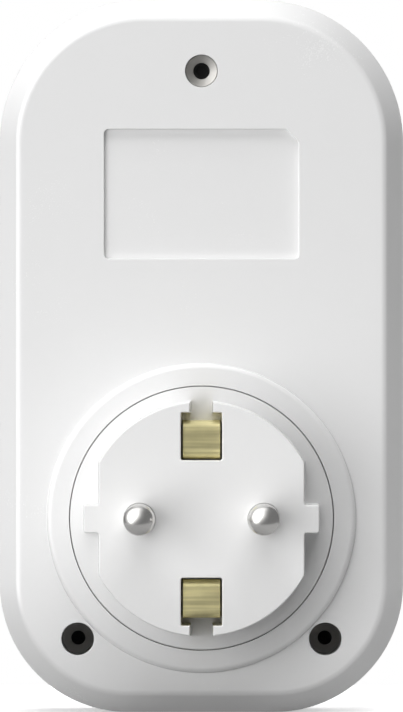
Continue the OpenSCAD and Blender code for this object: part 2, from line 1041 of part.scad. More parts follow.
// One switch under each button, with the hole that its plunger moves in
module tact_switches() {
    color("dimgray") {
        for (x = button_x)
            switch_body([x, button_z], 6, plunger_d);
        switch_body([0, reset_z], 4.4, reset_d);
    }
}

module switch_body(at, size, stem_d) {
    difference() {
        block(
            [at[0] - size / 2, display_front, at[1] - size / 2],
            [at[0] + size / 2, switch_top, at[1] + size / 2]
        );
        rod(at, stem_d + 0.2, switch_top - 1.8, switch_top + 1);
    }
}

module lcd_panel() {
    color("darkseagreen")
        block([-22, front_inside - 3.8, view_z - 10.2], [22, front_inside - 1, view_z + 10.2]);
}

// The frame that holds the glass behind the window
module lcd_holder() {
    color("gainsboro")
        difference() {
            block([-23.3, display_front, view_z - 10.75], [23.3, front_inside, view_z + 10.75]);
            block([-22.05, display_front - 1, view_z - 10.25], [22.05, front_inside - 1, view_z + 10.25]);
            block([-20.5, display_front, view_z - 9], [20.5, front_inside + 1, view_z + 9]);
        }
}

// The two striped rubber bars that connect the glass to the board
module contact_rubbers() {
    color("salmon")
        for (z = [view_z - 9.9, view_z + 8.1])
            block([-20, display_front, z], [20, front_inside - 3.8, z + 1.8]);
}

// ---- Buttons --------------------------------------------------------------

// A button cap: a rounded bar on a flange that stays behind the front wall
module button_cap(x) {
    color("slategray")
        translate([x, 0, button_z]) {
            plate(button_back, front_inside - button_gap)
                button_outline(button_flange);
            plate(front_inside - button_gap - 0.5, front_y + button_rise)
                button_outline(0);
        }
}

module switch_plunger(at, d) {
    color("ivory")
        rod(at, d, button_back - plunger_l, button_back);
}

module button_mode() {
    button_cap(button_x[0]);
}

module button_down() {
    button_cap(button_x[1]);
}

module button_up() {
    button_cap(button_x[2]);
}

module button_set() {
    button_cap(button_x[3]);
}

module button_reset() {
    color("slategray") {
        rod([0, reset_z], reset_d + 1.6, button_back, front_inside - button_gap);
        rod([0, reset_z], reset_d, front_inside - button_gap - 0.5, front_y - 0.4);
    }
}

module plunger_mode() {
    switch_plunger([button_x[0], button_z], plunger_d);
}

module plunger_down() {
    switch_plunger([button_x[1], button_z], plunger_d);
}

module plunger_up() {
    switch_plunger([button_x[2], button_z], plunger_d);
}

module plunger_set() {
    switch_plunger([button_x[3], button_z], plunger_d);
}

module plunger_reset() {
    switch_plunger([0, reset_z], reset_d);
}

// ---- The assembly ---------------------------------------------------------

rear_casing();
front_casing();
plug_insert();
socket_insert();
contact_carrier();
shutter();
shutter_spring();
case_screws();
plug_screws();
socket_screws();
carrier_screws();
board_screws();
display_screws();
live_pin();
neutral_pin();
plug_earth_upper();
plug_earth_lower();
earth_bridge();
socket_earth_upper();
socket_earth_lower();
live_contact();
neutral_contact();
live_input_strip();
neutral_input_strip();
live_output_strip();
neutral_output_strip();
main_board();
current_shunt();
fuse();
fuse_clips();
varistor();
film_capacitor();
smoothing_capacitor();
dropper_resistor();
bridge_rectifier();
metering_chip();
crystal();
link_header();
link_socket();
display_board();
microcontroller();
backup_cell();
tact_switches();
lcd_panel();
lcd_holder();
contact_rubbers();
window_lens();
button_mode();
button_down();
button_up();
button_set();
button_reset();
plunger_mode();
plunger_down();
plunger_up();
plunger_set();
plunger_reset();
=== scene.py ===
import json
import math
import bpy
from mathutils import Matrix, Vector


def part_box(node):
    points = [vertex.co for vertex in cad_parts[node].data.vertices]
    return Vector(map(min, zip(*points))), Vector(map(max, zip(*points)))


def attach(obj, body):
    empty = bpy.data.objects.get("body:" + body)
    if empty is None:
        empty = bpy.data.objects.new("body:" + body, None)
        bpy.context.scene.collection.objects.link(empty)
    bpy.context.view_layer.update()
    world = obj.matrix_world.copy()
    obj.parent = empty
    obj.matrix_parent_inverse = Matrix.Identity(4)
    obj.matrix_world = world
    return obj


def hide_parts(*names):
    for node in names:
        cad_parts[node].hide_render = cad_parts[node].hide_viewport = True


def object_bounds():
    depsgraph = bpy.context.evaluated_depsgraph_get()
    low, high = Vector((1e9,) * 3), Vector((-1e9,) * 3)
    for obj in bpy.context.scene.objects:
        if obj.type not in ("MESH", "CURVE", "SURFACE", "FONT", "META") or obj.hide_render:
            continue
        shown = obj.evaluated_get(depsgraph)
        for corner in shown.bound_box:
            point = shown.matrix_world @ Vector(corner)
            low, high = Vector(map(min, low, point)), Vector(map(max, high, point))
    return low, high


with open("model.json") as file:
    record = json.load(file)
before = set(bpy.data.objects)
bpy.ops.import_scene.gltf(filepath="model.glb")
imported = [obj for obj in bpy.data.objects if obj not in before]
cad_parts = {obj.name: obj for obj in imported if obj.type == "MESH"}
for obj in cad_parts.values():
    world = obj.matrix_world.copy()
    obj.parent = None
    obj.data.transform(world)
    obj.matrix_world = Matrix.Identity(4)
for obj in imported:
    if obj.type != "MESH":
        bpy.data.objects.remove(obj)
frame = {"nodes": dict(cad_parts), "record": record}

from types import SimpleNamespace

import bpy
import numpy as np
from bpy.props import FloatProperty, FloatVectorProperty, PointerProperty
from mathutils import Vector
from mathutils.geometry import delaunay_2d_cdt

bl_info = {
    "name": "Plug-in power meter",
    "version": (1, 0, 0),
    "blender": (4, 5, 0),
    "location": "3D View > Sidebar > Power meter",
    "description": "Builds a plug-in power meter round its packed frame, with its finishes and its studio",
    "category": "Object",
}

CAD_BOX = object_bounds()
REAR_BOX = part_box("rear_casing")
FRONT_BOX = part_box("front_casing")
PIN_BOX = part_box("live_pin")
LENS_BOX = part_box("window_lens")
GLASS_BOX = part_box("lcd_panel")
BUTTONS = ("mode", "down", "up", "set")

# The screws that hold the plug insert stand this far to each side and this far up, in millimetres
EAR_X, EAR_Z = 25.2, 9
# The outer radius and the two depths of the socket cup's rim flange, in millimetres
RIM_RADIUS, RIM_BACK, RIM_FRONT = 22.8, -55.4, -57.4

# How an outline's two axes and its depth lie in the frame, one row for each of X, Y and Z
FROM_BEHIND = np.array([[1, 0, 0], [0, 0, 1], [0, 1, 0]])
FROM_THE_FRONT = np.array([[1, 0, 0], [0, 0, -1], [0, 1, 0]])
FROM_THE_SIDE = np.array([[0, 0, 1], [0, 1, 0], [1, 0, 0]])
FROM_THE_SIDE_TURNED = np.array([[0, 0, -1], [0, 1, 0], [-1, 0, 0]])


# ---- Sizes and colours ----------------------------------------------------

def length(name, description, mm):
    """A length whose default is given in millimetres."""
    return FloatProperty(name=name, description=description, default=mm / 1000, unit="LENGTH", precision=5)


def colour(name, description, red, green, blue):
    """A colour that a user can change."""
    return FloatVectorProperty(
        name=name, description=description, default=(red, green, blue), subtype="COLOR", min=0, max=1
    )


def share(name, description, value):
    """A plain number from 0 to 1."""
    return FloatProperty(name=name, description=description, default=value, min=0, max=1, subtype="FACTOR")


def gain(name, description, value):
    """A plain number that isn't below 0."""
    return FloatProperty(name=name, description=description, default=value, min=0)


def in_mm(group):
    """A group's lengths in millimetres, by name."""
    names = [p.identifier for p in group.bl_rna.properties if p.type == "FLOAT" and p.unit == "LENGTH"]
    return SimpleNamespace(**{name: round(getattr(group, name) * 1000, 4) for name in names})


class PLUGMETER_PG_case(bpy.types.PropertyGroup):
    """The two shells of the case"""
    width: length("Width", "Width of the case", (REAR_BOX[1].x - REAR_BOX[0].x) * 1000)
    top: length("Top", "Height of the case's top above the plug's axis", REAR_BOX[1].z * 1000)
    bottom: length("Bottom", "Height of the case's bottom, below the plug's axis", REAR_BOX[0].z * 1000)
    top_radius: length("Top corner", "Radius of the two upper corners", 21.9)
    bottom_radius: length("Bottom corner", "Radius of the two lower corners", 19.7)
    wall: length("Wall", "Thickness of the side walls", 2)
    face_wall: length("Face wall", "Thickness of the back and front walls", 2.2)
    back: length("Back", "Distance of the back from the plug's end face", 18.7)
    front: length("Front", "Distance of the front from the plug's end face", FRONT_BOX[1].y * 1000)
    parting: length("Parting line", "Distance of the parting line from the plug's end face", 40)
    parting_edge: length("Parting edge", "Radius on both shells where they meet", 0.22)
    lip: length("Lip", "Height of the lip where the shells meet", 1.5)
    lip_gap: length("Lip gap", "Play between the lip and its rebate", 0.1)
    bevel: length("Bevel", "Width and depth of the bevel round both faces", 2.85)
    softness: length("Bevel softness", "Radius where the bevel meets the face", 1.5)
    bevel_edge: length("Bevel edge", "Radius where the bevel meets the sides", 0.15)
    flat_margin: length("Flat margin", "Distance of the flat face's edge from the outline", 4.5)
    boss_radius: length("Boss radius", "Radius of the low boss that the plug stands on", 23.75)
    boss_face: length("Boss face", "Distance of the boss's face from the plug's end face", 17.5)
    boss_softness: length("Boss softness", "Radius on the boss's edge", 0.8)
    insert_hole: length("Insert hole", "Radius of the hole round the plug's flange", 20.35)
    screw_hole: length("Screw hole", "Radius of the holes over the case screws", 2.5)
    low_screw_x: length("Lower screw, sideways", "Distance of a lower screw from the middle", 19.02)
    low_screw_z: length("Lower screws, height", "Height of the lower screws", -18.57)
    top_screw_z: length("Top screw, height", "Height of the top screw", 68.7)
    top_seat: length("Top seat", "Depth that the top screw's head sits on", 21.5)
    low_seat: length("Lower seats", "Depth that the lower screws' heads sit on", 34)
    label_width: length("Label width", "Width of the label recess", 30)
    label_height: length("Label height", "Height of the label recess", 20)
    label_low: length("Label height above axis", "Height of the label recess's lower edge", 39.8)
    label_depth: length("Label depth", "Depth of the label recess", 0.9)


class PLUGMETER_PG_plug(bpy.types.PropertyGroup):
    """The plug on the back"""
    radius: length("Radius", "Radius of the plug body", 18)
    flat: length("Flat", "Distance of each flat from the axis", 15.8)
    rib: length("Rib", "Distance of each guide rib's face from the axis", 18.08)
    rib_height: length("Rib height", "Height of each guide rib", 4.4)
    window_half: length("Window half width", "Half the width of an earth window", 3.06)
    window_in: length("Window's inner edge", "Distance of a window's inner edge from the axis", 9.07)
    window_out: length("Window's outer edge", "Distance of a window's outer edge from the axis", 16.2)
    slot_half: length("Slot half width", "Half the width of the slot out to the rim", 1.7)
    flange: length("Flange radius", "Radius of the flange that fills the hole in the boss", 20.2)
    flange_depth: length("Flange face", "Distance of the flange's face from the end face", 17.5)
    draft: length("Draft", "How far the body's wall leans in over half of its length", 0.09)
    edge: length("Edge", "Radius on the end face's edge", 0.2)
    pin_x: length("Pin offset", "Distance of each pin's axis from the middle", 9.5)
    pin_radius: length("Pin radius", "Radius of a pin", 2.4)
    pin_length: length("Pin length", "Length of a pin in front of the end face", -PIN_BOX[0].y * 1000)
    strap_half: length("Strap half width", "Half the width of an earth strap", 2.85)
    strap_edge: length("Strap edge", "Radius on the long edges of an earth strap", 0.07)


class PLUGMETER_PG_front(bpy.types.PropertyGroup):
    """The socket, window and buttons on the front"""
    recess: length("Recess radius", "Radius of the socket's recess", 19.75)
    cup: length("Cup radius", "Outer radius of the socket insert", 21.6)
    floor: length("Floor", "Distance of the socket's floor from the plug's end face", 42.5)
    floor_back: length("Floor back", "Distance of the floor's hidden side", 40.5)
    hole_radius: length("Pin hole radius", "Radius of the pin holes", 2.75)
    guide_x: length("Guide walls", "Distance of each guide wall from the middle", 17)
    guide_low: length("Guide's near edge", "Height at which a guide wall starts", 2.8)
    guide_high: length("Guide's far edge", "Height at which a guide wall ends", 8.8)
    slot_half: length("Earth slot half width", "Half the width of the slots for the earth clips", 3.3)
    view_half_width: length("View half width", "Half the width of the viewing window", 20)
    view_half_height: length("View half height", "Half the height of the viewing window", 8.5)
    view_z: length("View height", "Height of the window's middle", 54.5)
    lens_radius: length("Lens corner", "Radius of the lens's corners", 2)
    button_pitch: length("Button pitch", "Distance between neighbouring buttons", 12)
    button_z: length("Button height", "Height of the row of buttons", 31.5)
    button_half_width: length("Button half width", "Half the width of a button", 4.2)
    button_half_height: length("Button half height", "Half the height of a button", 2.6)
    button_gap: length("Button gap", "Gap all round a button", 0.2)
    reset_z: length("Reset height", "Height of the reset button", 38.6)
    reset_radius: length("Reset radius", "Radius of the reset button", 1.3)


class PLUGMETER_PG_finish(bpy.types.PropertyGroup):
    """Colours and gloss"""
    case: colour("Case", "Colour of the case's plastic", 0.83, 0.83, 0.83)
    insert: colour("Inserts", "Colour of the plug and socket plastic", 0.83, 0.83, 0.828)
    case_gloss: share("Case roughness", "Roughness of the case's plastic", 0.26)
    insert_gloss: share("Insert roughness", "Roughness of the plug's plastic", 0.36)
    nickel: colour("Pin plating", "Colour of the nickel plating", 0.80, 0.79, 0.775)
    brass: colour("Brass", "Colour of the brass strip", 0.72, 0.655, 0.36)
    steel: colour("Screw steel", "Colour of the zinc plated screws", 0.54, 0.53, 0.51)
    button: colour("Buttons", "Colour of the button caps", 0.10, 0.13, 0.17)
    shutter: colour("Shutter", "Colour of the shutter", 0.80, 0.80, 0.79)
    screen: colour("Screen", "Colour of the unlit liquid crystal", 0.42, 0.47, 0.39)


class PLUGMETER_PG_studio(bpy.types.PropertyGroup):
    """The camera, the lights and the floor"""
    lens: FloatProperty(name="Lens", description="Focal length in millimetres", default=950, min=50)
    front_light: share("Front light", "Brightness that the front softbox gives", 0.41)
    left_light: share("Left light", "Brightness that the left softbox gives", 0.29)
    top_light: share("Top light", "Brightness that the top softbox gives", 0.85)
    rear_light: share("Rear light", "Brightness that the softbox behind the case gives", 0.8)
    surround: share("Surround", "Grey of the studio as reflections see it", 0.2)
    gleam: gain("Gleam", "Brightness of the broad bright patch at the upper left", 4)
    gleam_top: gain("Top gleam", "Brightness of the bright patch overhead", 0.8)
    gleam_left: gain("Left gleam", "Brightness of the small bright patch at the left", 5)
    fill: share("Fill", "Grey of the studio as matt surfaces see it", 0.03)
    floor_radius: length("Floor radius", "Radius of the pale round floor", 160)
    floor_glow: share("Floor glow", "Light that the floor adds where the camera sees it", 0.5)


# ---- Outlines and surfaces ------------------------------------------------

def arc(centre, radius, start, end, steps=8):
    """Points at even angles round a centre, from start to end in degrees. They face outwards where
    the angle grows and inwards where it falls."""
    angle = np.radians(np.linspace(start, end, steps + 1))
    way = np.stack([np.cos(angle), np.sin(angle)], axis=1)
    return np.array(centre) + radius * way, way * np.sign(end - start)


def fillet(before, corner, after, radius, fineness):
    """The arc of a radius that touches both sides of a corner: its centre lies on the corner's
    bisector at radius / sin(half the angle)."""
    corner = np.array(corner, float)
    back = (before - corner) / np.linalg.norm(before - corner)
    on = (after - corner) / np.linalg.norm(after - corner)
    half = math.acos(np.clip(back @ on, -1, 1)) / 2
    centre = corner + (back + on) / np.linalg.norm(back + on) * radius / math.sin(half)
    reach = radius / math.tan(half)
    first, last = corner + back * reach - centre, corner + on * reach - centre
    start = math.degrees(math.atan2(first[1], first[0]))
    end = math.degrees(math.atan2(last[1], last[0]))
    sweep = (end - start + 180) % 360 - 180
    return arc(centre, radius, start, start + sweep, max(2, math.ceil(abs(sweep) / fineness)))


class Track:
    """A run of straight and curved steps in a plane, in millimetres. A stroke is an arc, or a corner
    with an optional radius; straight steps join them. Each step keeps its two ends and the way that it
    faces there, which is to the right of the way it runs. A point's mitre is the sum of the two ways
    that meet there over one plus their dot product, so an offset along it keeps every wall parallel."""

    def __init__(self, strokes, closed=True, fineness=15):
        heads = [np.array(s[:2], float) if np.ndim(s[0]) == 0 else s[0][0] for s in strokes]
        tails = [np.array(s[:2], float) if np.ndim(s[0]) == 0 else s[0][-1] for s in strokes]
        count = len(strokes)
        parts = []
        for i, stroke in enumerate(strokes):
            if np.ndim(stroke[0]) > 0:
                parts.append(stroke)
            elif len(stroke) == 3 and (closed or 0 < i < count - 1):
                parts.append(fillet(tails[i - 1], heads[i], heads[(i + 1) % count], stroke[2], fineness))
            else:
                parts.append((heads[i][None], None))
        start, end, face_start, face_end = [], [], [], []
        for i, (points, ways) in enumerate(parts):
            if ways is not None:
                start.append(points[:-1])
                end.append(points[1:])
                face_start.append(ways[:-1])
                face_end.append(ways[1:])
            follower = parts[(i + 1) % count][0][0]
            run = follower - points[-1]
            if (closed or i < count - 1) and np.linalg.norm(run) > 1e-6:
                right = np.array([[run[1], -run[0]]]) / np.linalg.norm(run)
                start.append(points[-1:])
                end.append(follower[None])
                face_start.append(right)
                face_end.append(right)
        self.start = np.concatenate(start)
        self.end = np.concatenate(end)
        self.face_start = np.concatenate(face_start)
        self.face_end = np.concatenate(face_end)
        before = np.roll(self.face_end, 1, axis=0)
        together = 1 + np.sum(before * self.face_start, axis=1, keepdims=True)
        self.mitre = (before + self.face_start) / np.maximum(together, 0.2)

    def stops(self):
        """Every point of an open track, the last one included."""
        return np.concatenate([self.start, self.end[-1:]])

    def ring(self, offset):
        """The closed outline moved out by an offset."""
        return self.start + offset * self.mitre


def disc(centre, steps=48):
    """An outline of no size round a centre, so a profile's offset along it is a radius."""
    return circle(centre, 0, steps)


def circle(centre, radius, steps):
    """A circle in even straight steps."""
    return Track([arc(centre, radius, 0, 360, steps)])


def box_outline(low, high, radius=0.0):
    """A rectangle between two corners, with rounded corners."""
    corners = ((low[0], low[1]), (high[0], low[1]), (high[0], high[1]), (low[0], high[1]))
    return Track([(*corner, radius) if radius else corner for corner in corners])


def side_box(way, near, far, low, high, radius):
    """A rounded rectangle on one side of the middle."""
    left, right = sorted((way * near, way * far))
    return box_outline((left, low), (right, high), radius)


def bar_outline(centre, half_width, half_height, steps=14):
    """A bar with two half circles for ends."""
    reach = half_width - half_height
    return Track([
        arc((centre[0] + reach, centre[1]), half_height, -90, 90, steps),
        arc((centre[0] - reach, centre[1]), half_height, 90, 270, steps),
    ])


def profile(*strokes, fineness=18):
    """An open track of depths and offsets. Where the depth falls it faces outwards, where it grows
    inwards, where the offset falls towards lower depths, and where it grows towards higher ones."""
    return Track(list(strokes), closed=False, fineness=fineness)


class Skin:
    """Gathers the walls and flat faces of one piece, with the way that each corner faces."""

    def __init__(self, lie):
        self.lie = lie
        self.corners = []
        self.ways = []

    def add(self, corners, ways):
        """Takes four-cornered faces, each turned so that it looks outwards in the frame."""
        if np.linalg.det(self.lie) > 0:
            corners, ways = corners[:, ::-1], ways[:, ::-1]
        self.corners.append(corners @ self.lie.T)
        self.ways.append(ways @ self.lie.T)

    def wall(self, outline, shape, skip=None):
        """Carries a profile along a closed outline: the point at (u, v) is outline(u) + offset(v) times
        mitre(u), at depth(v). Its normal turns with both, so a sharp corner stays sharp and an arc
        stays round. Returns the first and the last ring."""
        stops = shape.stops()
        rings = outline.start[None] + stops[:, 1, None, None] * outline.mitre[None]
        depth = np.broadcast_to(stops[:, 0, None, None], rings.shape[:2] + (1,))
        grid = np.concatenate([rings, depth], axis=2)
        beside = np.roll(grid, -1, axis=1)
        corners = np.stack([grid[:-1], beside[:-1], beside[1:], grid[1:]], axis=2)

        def facing(along, round_it):
            sideways = along[:, None, 1:2] * round_it[None]
            inwards = np.broadcast_to(along[:, None, 0:1], sideways.shape[:2] + (1,))
            return np.concatenate([sideways, inwards], axis=2)

        ways = np.stack([
            facing(shape.face_start, outline.face_start), facing(shape.face_start, outline.face_end),
            facing(shape.face_end, outline.face_end), facing(shape.face_end, outline.face_start),
        ], axis=2)
        kept = np.ones(corners.shape[:2], bool) if skip is None else ~skip
        self.add(corners[kept], ways[kept])
        return rings[0], rings[-1]

    def hole(self, outline, shape, first_face, last_face):
        """A wall whose first ring is a hole in one flat face and whose last ring is one in another."""
        first, last = self.wall(outline, shape)
        first_face.append(first)
        last_face.append(last)

    def cap(self, depth, way, *loops):
        """Fills the flat space between loops at one depth with triangles: those whose middle an odd
        number of loops goes round. It faces lower depths where way is -1 and higher ones where it is 1."""
        points = np.concatenate(loops)
        first = np.concatenate([[0], np.cumsum([len(loop) for loop in loops])])
        after = np.concatenate([s + np.roll(np.arange(e - s), -1) for s, e in zip(first, first[1:])])
        edges = np.stack([np.arange(len(points)), after], axis=1)
        made = delaunay_2d_cdt(list(map(Vector, points.tolist())), edges.tolist(), [], 1, 1e-6)
        if len(made[0]) != len(points):
            raise RuntimeError(f"loops at depth {depth} cross: {len(points)} points became {len(made[0])}")
        source = np.array([origin[0] for origin in made[3]])
        triangles = points[source[np.array(made[2])]]
        middle = triangles.mean(axis=1)[:, None]
        low, high = points[None], points[after][None]
        spans = (low[..., 1] > middle[..., 1]) != (high[..., 1] > middle[..., 1])
        rise = np.where(high[..., 1] == low[..., 1], 1, high[..., 1] - low[..., 1])
        crossing = low[..., 0] + (middle[..., 1] - low[..., 1]) * (high[..., 0] - low[..., 0]) / rise
        inside = np.sum(spans & (crossing > middle[..., 0]), axis=1) % 2 == 1
        flat = triangles[inside] if way < 0 else triangles[inside][:, ::-1]
        faces = np.concatenate([flat, np.full(flat.shape[:2] + (1,), float(depth))], axis=2)
        faces = np.concatenate([faces, faces[:, 2:]], axis=1)
        self.add(faces, np.broadcast_to(np.array([0.0, 0.0, way]), faces.shape))

    def slab(self, outline, low, high, edge=0.1, holes=()):
        """A plate between two depths with its rim rounded, and holes straight through it."""
        inset = 1.2 * edge
        rim = profile((high, -inset), (high, 0, edge), (low, 0, edge), (low, -inset))
        bore = profile((low, inset), (low, 0, edge), (high, 0, edge), (high, inset))
        back, front = self.wall(outline, rim)
        bores = [self.wall(hole, bore) for hole in holes]
        self.cap(high, 1, back, *[b[1] for b in bores])
        self.cap(low, -1, front, *[b[0] for b in bores])

    def piece(self, name, body, slot, replaces=(), look=None):
        """Welds the faces into one mesh, drops the corners that fell together, and puts the piece in
        the scene on its body, with its slot's finish or another named one, in place of its nodes."""
        corners = np.concatenate(self.corners)
        ways = np.concatenate(self.ways)
        keys = np.round(corners.reshape(-1, 3) / 1e-4).astype(np.int64)
        _, first, index = np.unique(keys, axis=0, return_index=True, return_inverse=True)
        points = corners.reshape(-1, 3)[first] / 1000
        index = index.reshape(-1, 4)
        kept = index != np.roll(index, 1, axis=1)
        whole = kept.sum(axis=1) > 2
        index, kept, ways = index[whole], kept[whole], ways[whole]
        counts = kept.sum(axis=1)
        mesh = bpy.data.meshes.new(name)
        mesh.vertices.add(len(points))
        mesh.vertices.foreach_set("co", points.ravel())
        mesh.loops.add(int(counts.sum()))
        mesh.loops.foreach_set("vertex_index", index[kept])
        mesh.polygons.add(len(counts))
        mesh.polygons.foreach_set("loop_start", np.concatenate([[0], np.cumsum(counts)[:-1]]))
        mesh.update(calc_edges=True)
        mesh.shade_smooth()
        mesh.normals_split_custom_set(ways[kept].tolist())
        if mesh.validate():
            raise RuntimeError(f"{name} has faces that are not sound")
        mesh.materials.append(FINISHES[look or slot])
        made = bpy.data.objects.new(name, mesh)
        bpy.context.scene.collection.objects.link(made)
        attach(made, body)
        if replaces:
            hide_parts(*replaces)


# ---- The outlines of this meter's pieces -----------------------------------

def case_outline(case):
    """The case from behind: straight sides with a quarter circle at each corner, wider at the top."""
    half = case.width / 2
    top_x, top_z = half - case.top_radius, case.top - case.top_radius
    low_x, low_z = half - case.bottom_radius, case.bottom + case.bottom_radius
    return Track([
        arc((low_x, low_z), case.bottom_radius, 270, 360, 24),
        arc((top_x, top_z), case.top_radius, 0, 90, 28),
        arc((-top_x, top_z), case.top_radius, 90, 180, 28),
        arc((-low_x, low_z), case.bottom_radius, 180, 270, 24),
    ])


def plug_outline(plug):
    """A circle cut by two flats, with a guide rib on each flat and a window and slot at top and bottom."""
    side = math.degrees(math.acos(plug.flat / plug.radius))
    slot = math.degrees(math.acos(plug.slot_half / plug.radius))
    rib_z = plug.rib_height / 2

    def rib(way):
        return [
            (way * plug.flat, -way * rib_z, 0.3), (way * plug.rib, -way * rib_z, 0.45),
            (way * plug.rib, way * rib_z, 0.45), (way * plug.flat, way * rib_z, 0.3),
        ]

    def window(way):
        return [
            (way * plug.slot_half, way * plug.window_out),
            (way * plug.window_half, way * plug.window_out, 0.15),
            (way * plug.window_half, way * plug.window_in, 0.25),
            (-way * plug.window_half, way * plug.window_in, 0.25),
            (-way * plug.window_half, way * plug.window_out, 0.15),
            (-way * plug.slot_half, way * plug.window_out),
        ]

    return Track([
        *rib(1), arc((0, 0), plug.radius, side, slot, 16),
        *window(1), arc((0, 0), plug.radius, 180 - slot, 180 - side, 16),
        *rib(-1), arc((0, 0), plug.radius, 180 + side, 180 + slot, 16),
        *window(-1), arc((0, 0), plug.radius, 360 - slot, 360 - side, 16),
    ])


def pocket_outline(turn):
    """The hollow beside the plug's web: a circle cut by two upright lines, turned to either side."""
    near = math.degrees(math.acos(4.6 / 16))
    far = math.degrees(math.acos(13.8 / 16))
    return Track([
        arc((0, 0), 16, turn - near, turn - far, 10),
        arc((0, 0), 16, turn + far, turn + near, 10),
    ])


def recess_outline(front):
    """The socket's recess: a circle with four guide walls, and a step at each edge of an earth slot."""
    low = math.degrees(math.asin(front.guide_low / front.recess))
    high = math.degrees(math.asin(front.guide_high / front.recess))
    slot = math.degrees(math.acos(front.slot_half / front.recess))
    strokes = []
    for turn, way in ((0, 1), (180, -1)):
        strokes += [
            arc((0, 0), front.recess, turn - low, turn + low, 6),
            (way * front.guide_x, way * front.guide_low, 0.3),
            (way * front.guide_x, way * front.guide_high, 0.3),
            arc((0, 0), front.recess, turn + high, turn + slot, 14),
            arc((0, 0), front.recess, turn + slot, turn + 180 - slot, 6),
            arc((0, 0), front.recess, turn + 180 - slot, turn + 180 - high, 14),
            (-way * front.guide_x, way * front.guide_high, 0.3),
            (-way * front.guide_x, way * front.guide_low, 0.3),
        ]
    return Track(strokes)


def star_outline(centre, radius, steps=72):
    """A six-lobed driver recess: its radius swings by a tenth six times in a turn."""
    angle = np.linspace(0, 2 * np.pi, steps + 1)
    swing = radius * (0.9 + 0.1 * np.cos(6 * angle))
    slope = -radius * 0.6 * np.sin(6 * angle)
    out = np.stack([np.cos(angle), np.sin(angle)], axis=1)
    along = np.stack([-np.sin(angle), np.cos(angle)], axis=1)
    ways = out * swing[:, None] - along * slope[:, None]
    ways /= np.linalg.norm(ways, axis=1, keepdims=True)
    return Track([(np.array(centre) + out * swing[:, None], ways)])


def screw_places(case):
    """Where the case screws stand and the depth that each head sits on: the top one, then the lower two."""
    low = [(way * case.low_screw_x, case.low_screw_z, case.low_seat) for way in (-1, 1)]
    return [(0, case.top_screw_z, case.top_seat), *low]


def label_outline(case):
    """The label recess, with its upper right corner cut off."""
    half, low, high, cut = case.label_width / 2, case.label_low, case.label_low + case.label_height, 2
    return Track([
        (-half, low, 0.8), (half, low, 0.7), (half, high - cut), (half - cut, high), (-half, high, 0.8),
    ])


# ---- Materials -------------------------------------------------------------

def put(tree, kind, inputs=(), **settings):
    """One shader node with its settings and inputs; an input is a value or another node's output."""
    made = tree.nodes.new(kind)
    for name, value in settings.items():
        setattr(made, name, value)
    for name, value in dict(inputs).items():
        if isinstance(value, bpy.types.NodeSocket):
            tree.links.new(value, made.inputs[name])
        else:
            made.inputs[name].default_value = value
    return made


def calculate(tree, operation, *values, clamp=False):
    """The output of one arithmetic node."""
    made = put(tree, "ShaderNodeMath", enumerate(values), operation=operation, use_clamp=clamp)
    return made.outputs[0]


def object_place(tree):
    """The output that gives each point's place on its piece."""
    return put(tree, "ShaderNodeTexCoord").outputs["Object"]


def new_group(name, sockets_in, sockets_out):
    """An empty node group with typed sockets, its input node and its output node."""
    tree = bpy.data.node_groups.new(name, "ShaderNodeTree")
    for label, kind, value in sockets_in:
        socket = tree.interface.new_socket(label, in_out="INPUT", socket_type=kind)
        socket.default_value = value
    for label, kind in sockets_out:
        tree.interface.new_socket(label, in_out="OUTPUT", socket_type=kind)
    return tree, tree.nodes.new("NodeGroupInput"), tree.nodes.new("NodeGroupOutput")


def surface_group():
    """Shared wear and grain. A broad cloud varies the colour and the roughness by a small share, and a
    fine cell noise lifts the surface; the stretch input draws the fine pattern out along one axis."""
    tree, given, result = new_group("Surface grain", [
        ("Colour", "NodeSocketColor", (0.8, 0.8, 0.8, 1)), ("Shade", "NodeSocketFloat", 0.03),
        ("Roughness", "NodeSocketFloat", 0.4), ("Spread", "NodeSocketFloat", 0.05),
        ("Stretch", "NodeSocketVector", (1, 1, 1)), ("Fineness", "NodeSocketFloat", 4000.0),
        ("Lift", "NodeSocketFloat", 0.1),
    ], [("Colour", "NodeSocketColor"), ("Roughness", "NodeSocketFloat"), ("Normal", "NodeSocketVector")])
    place = object_place(tree)
    drawn = put(tree, "ShaderNodeVectorMath", {0: place, 1: given.outputs["Stretch"]}, operation="MULTIPLY")
    cloud = put(tree, "ShaderNodeTexNoise", {"Vector": place, "Scale": 90.0, "Detail": 4.0}).outputs["Fac"]
    fine = put(tree, "ShaderNodeTexNoise", {
        "Vector": drawn.outputs["Vector"], "Scale": given.outputs["Fineness"], "Detail": 2.0,
    }).outputs["Fac"]
    swing = calculate(tree, "SUBTRACT", calculate(tree, "ADD", cloud, fine), 1.0)
    shade = calculate(tree, "MULTIPLY_ADD", swing, given.outputs["Shade"], 1.0)
    tinted = put(tree, "ShaderNodeVectorMath", {0: given.outputs["Colour"], 3: shade}, operation="SCALE")
    rough = calculate(
        tree, "MULTIPLY_ADD", swing, given.outputs["Spread"], given.outputs["Roughness"], clamp=True
    )
    bump = put(tree, "ShaderNodeBump", {
        "Height": fine, "Strength": given.outputs["Lift"], "Distance": 0.00004,
    }).outputs["Normal"]
    tree.links.new(tinted.outputs["Vector"], result.inputs["Colour"])
    tree.links.new(rough, result.inputs["Roughness"])
    tree.links.new(bump, result.inputs["Normal"])
    return tree


def principled(name, **constants):
    """A material with its shader and the constants set on the shader's own sockets."""
    material = bpy.data.materials.new(name)
    material.use_nodes = True
    shader = material.node_tree.nodes["Principled BSDF"]
    for label, value in constants.items():
        shader.inputs[label.replace("_", " ")].default_value = value
    return material, material.node_tree, shader


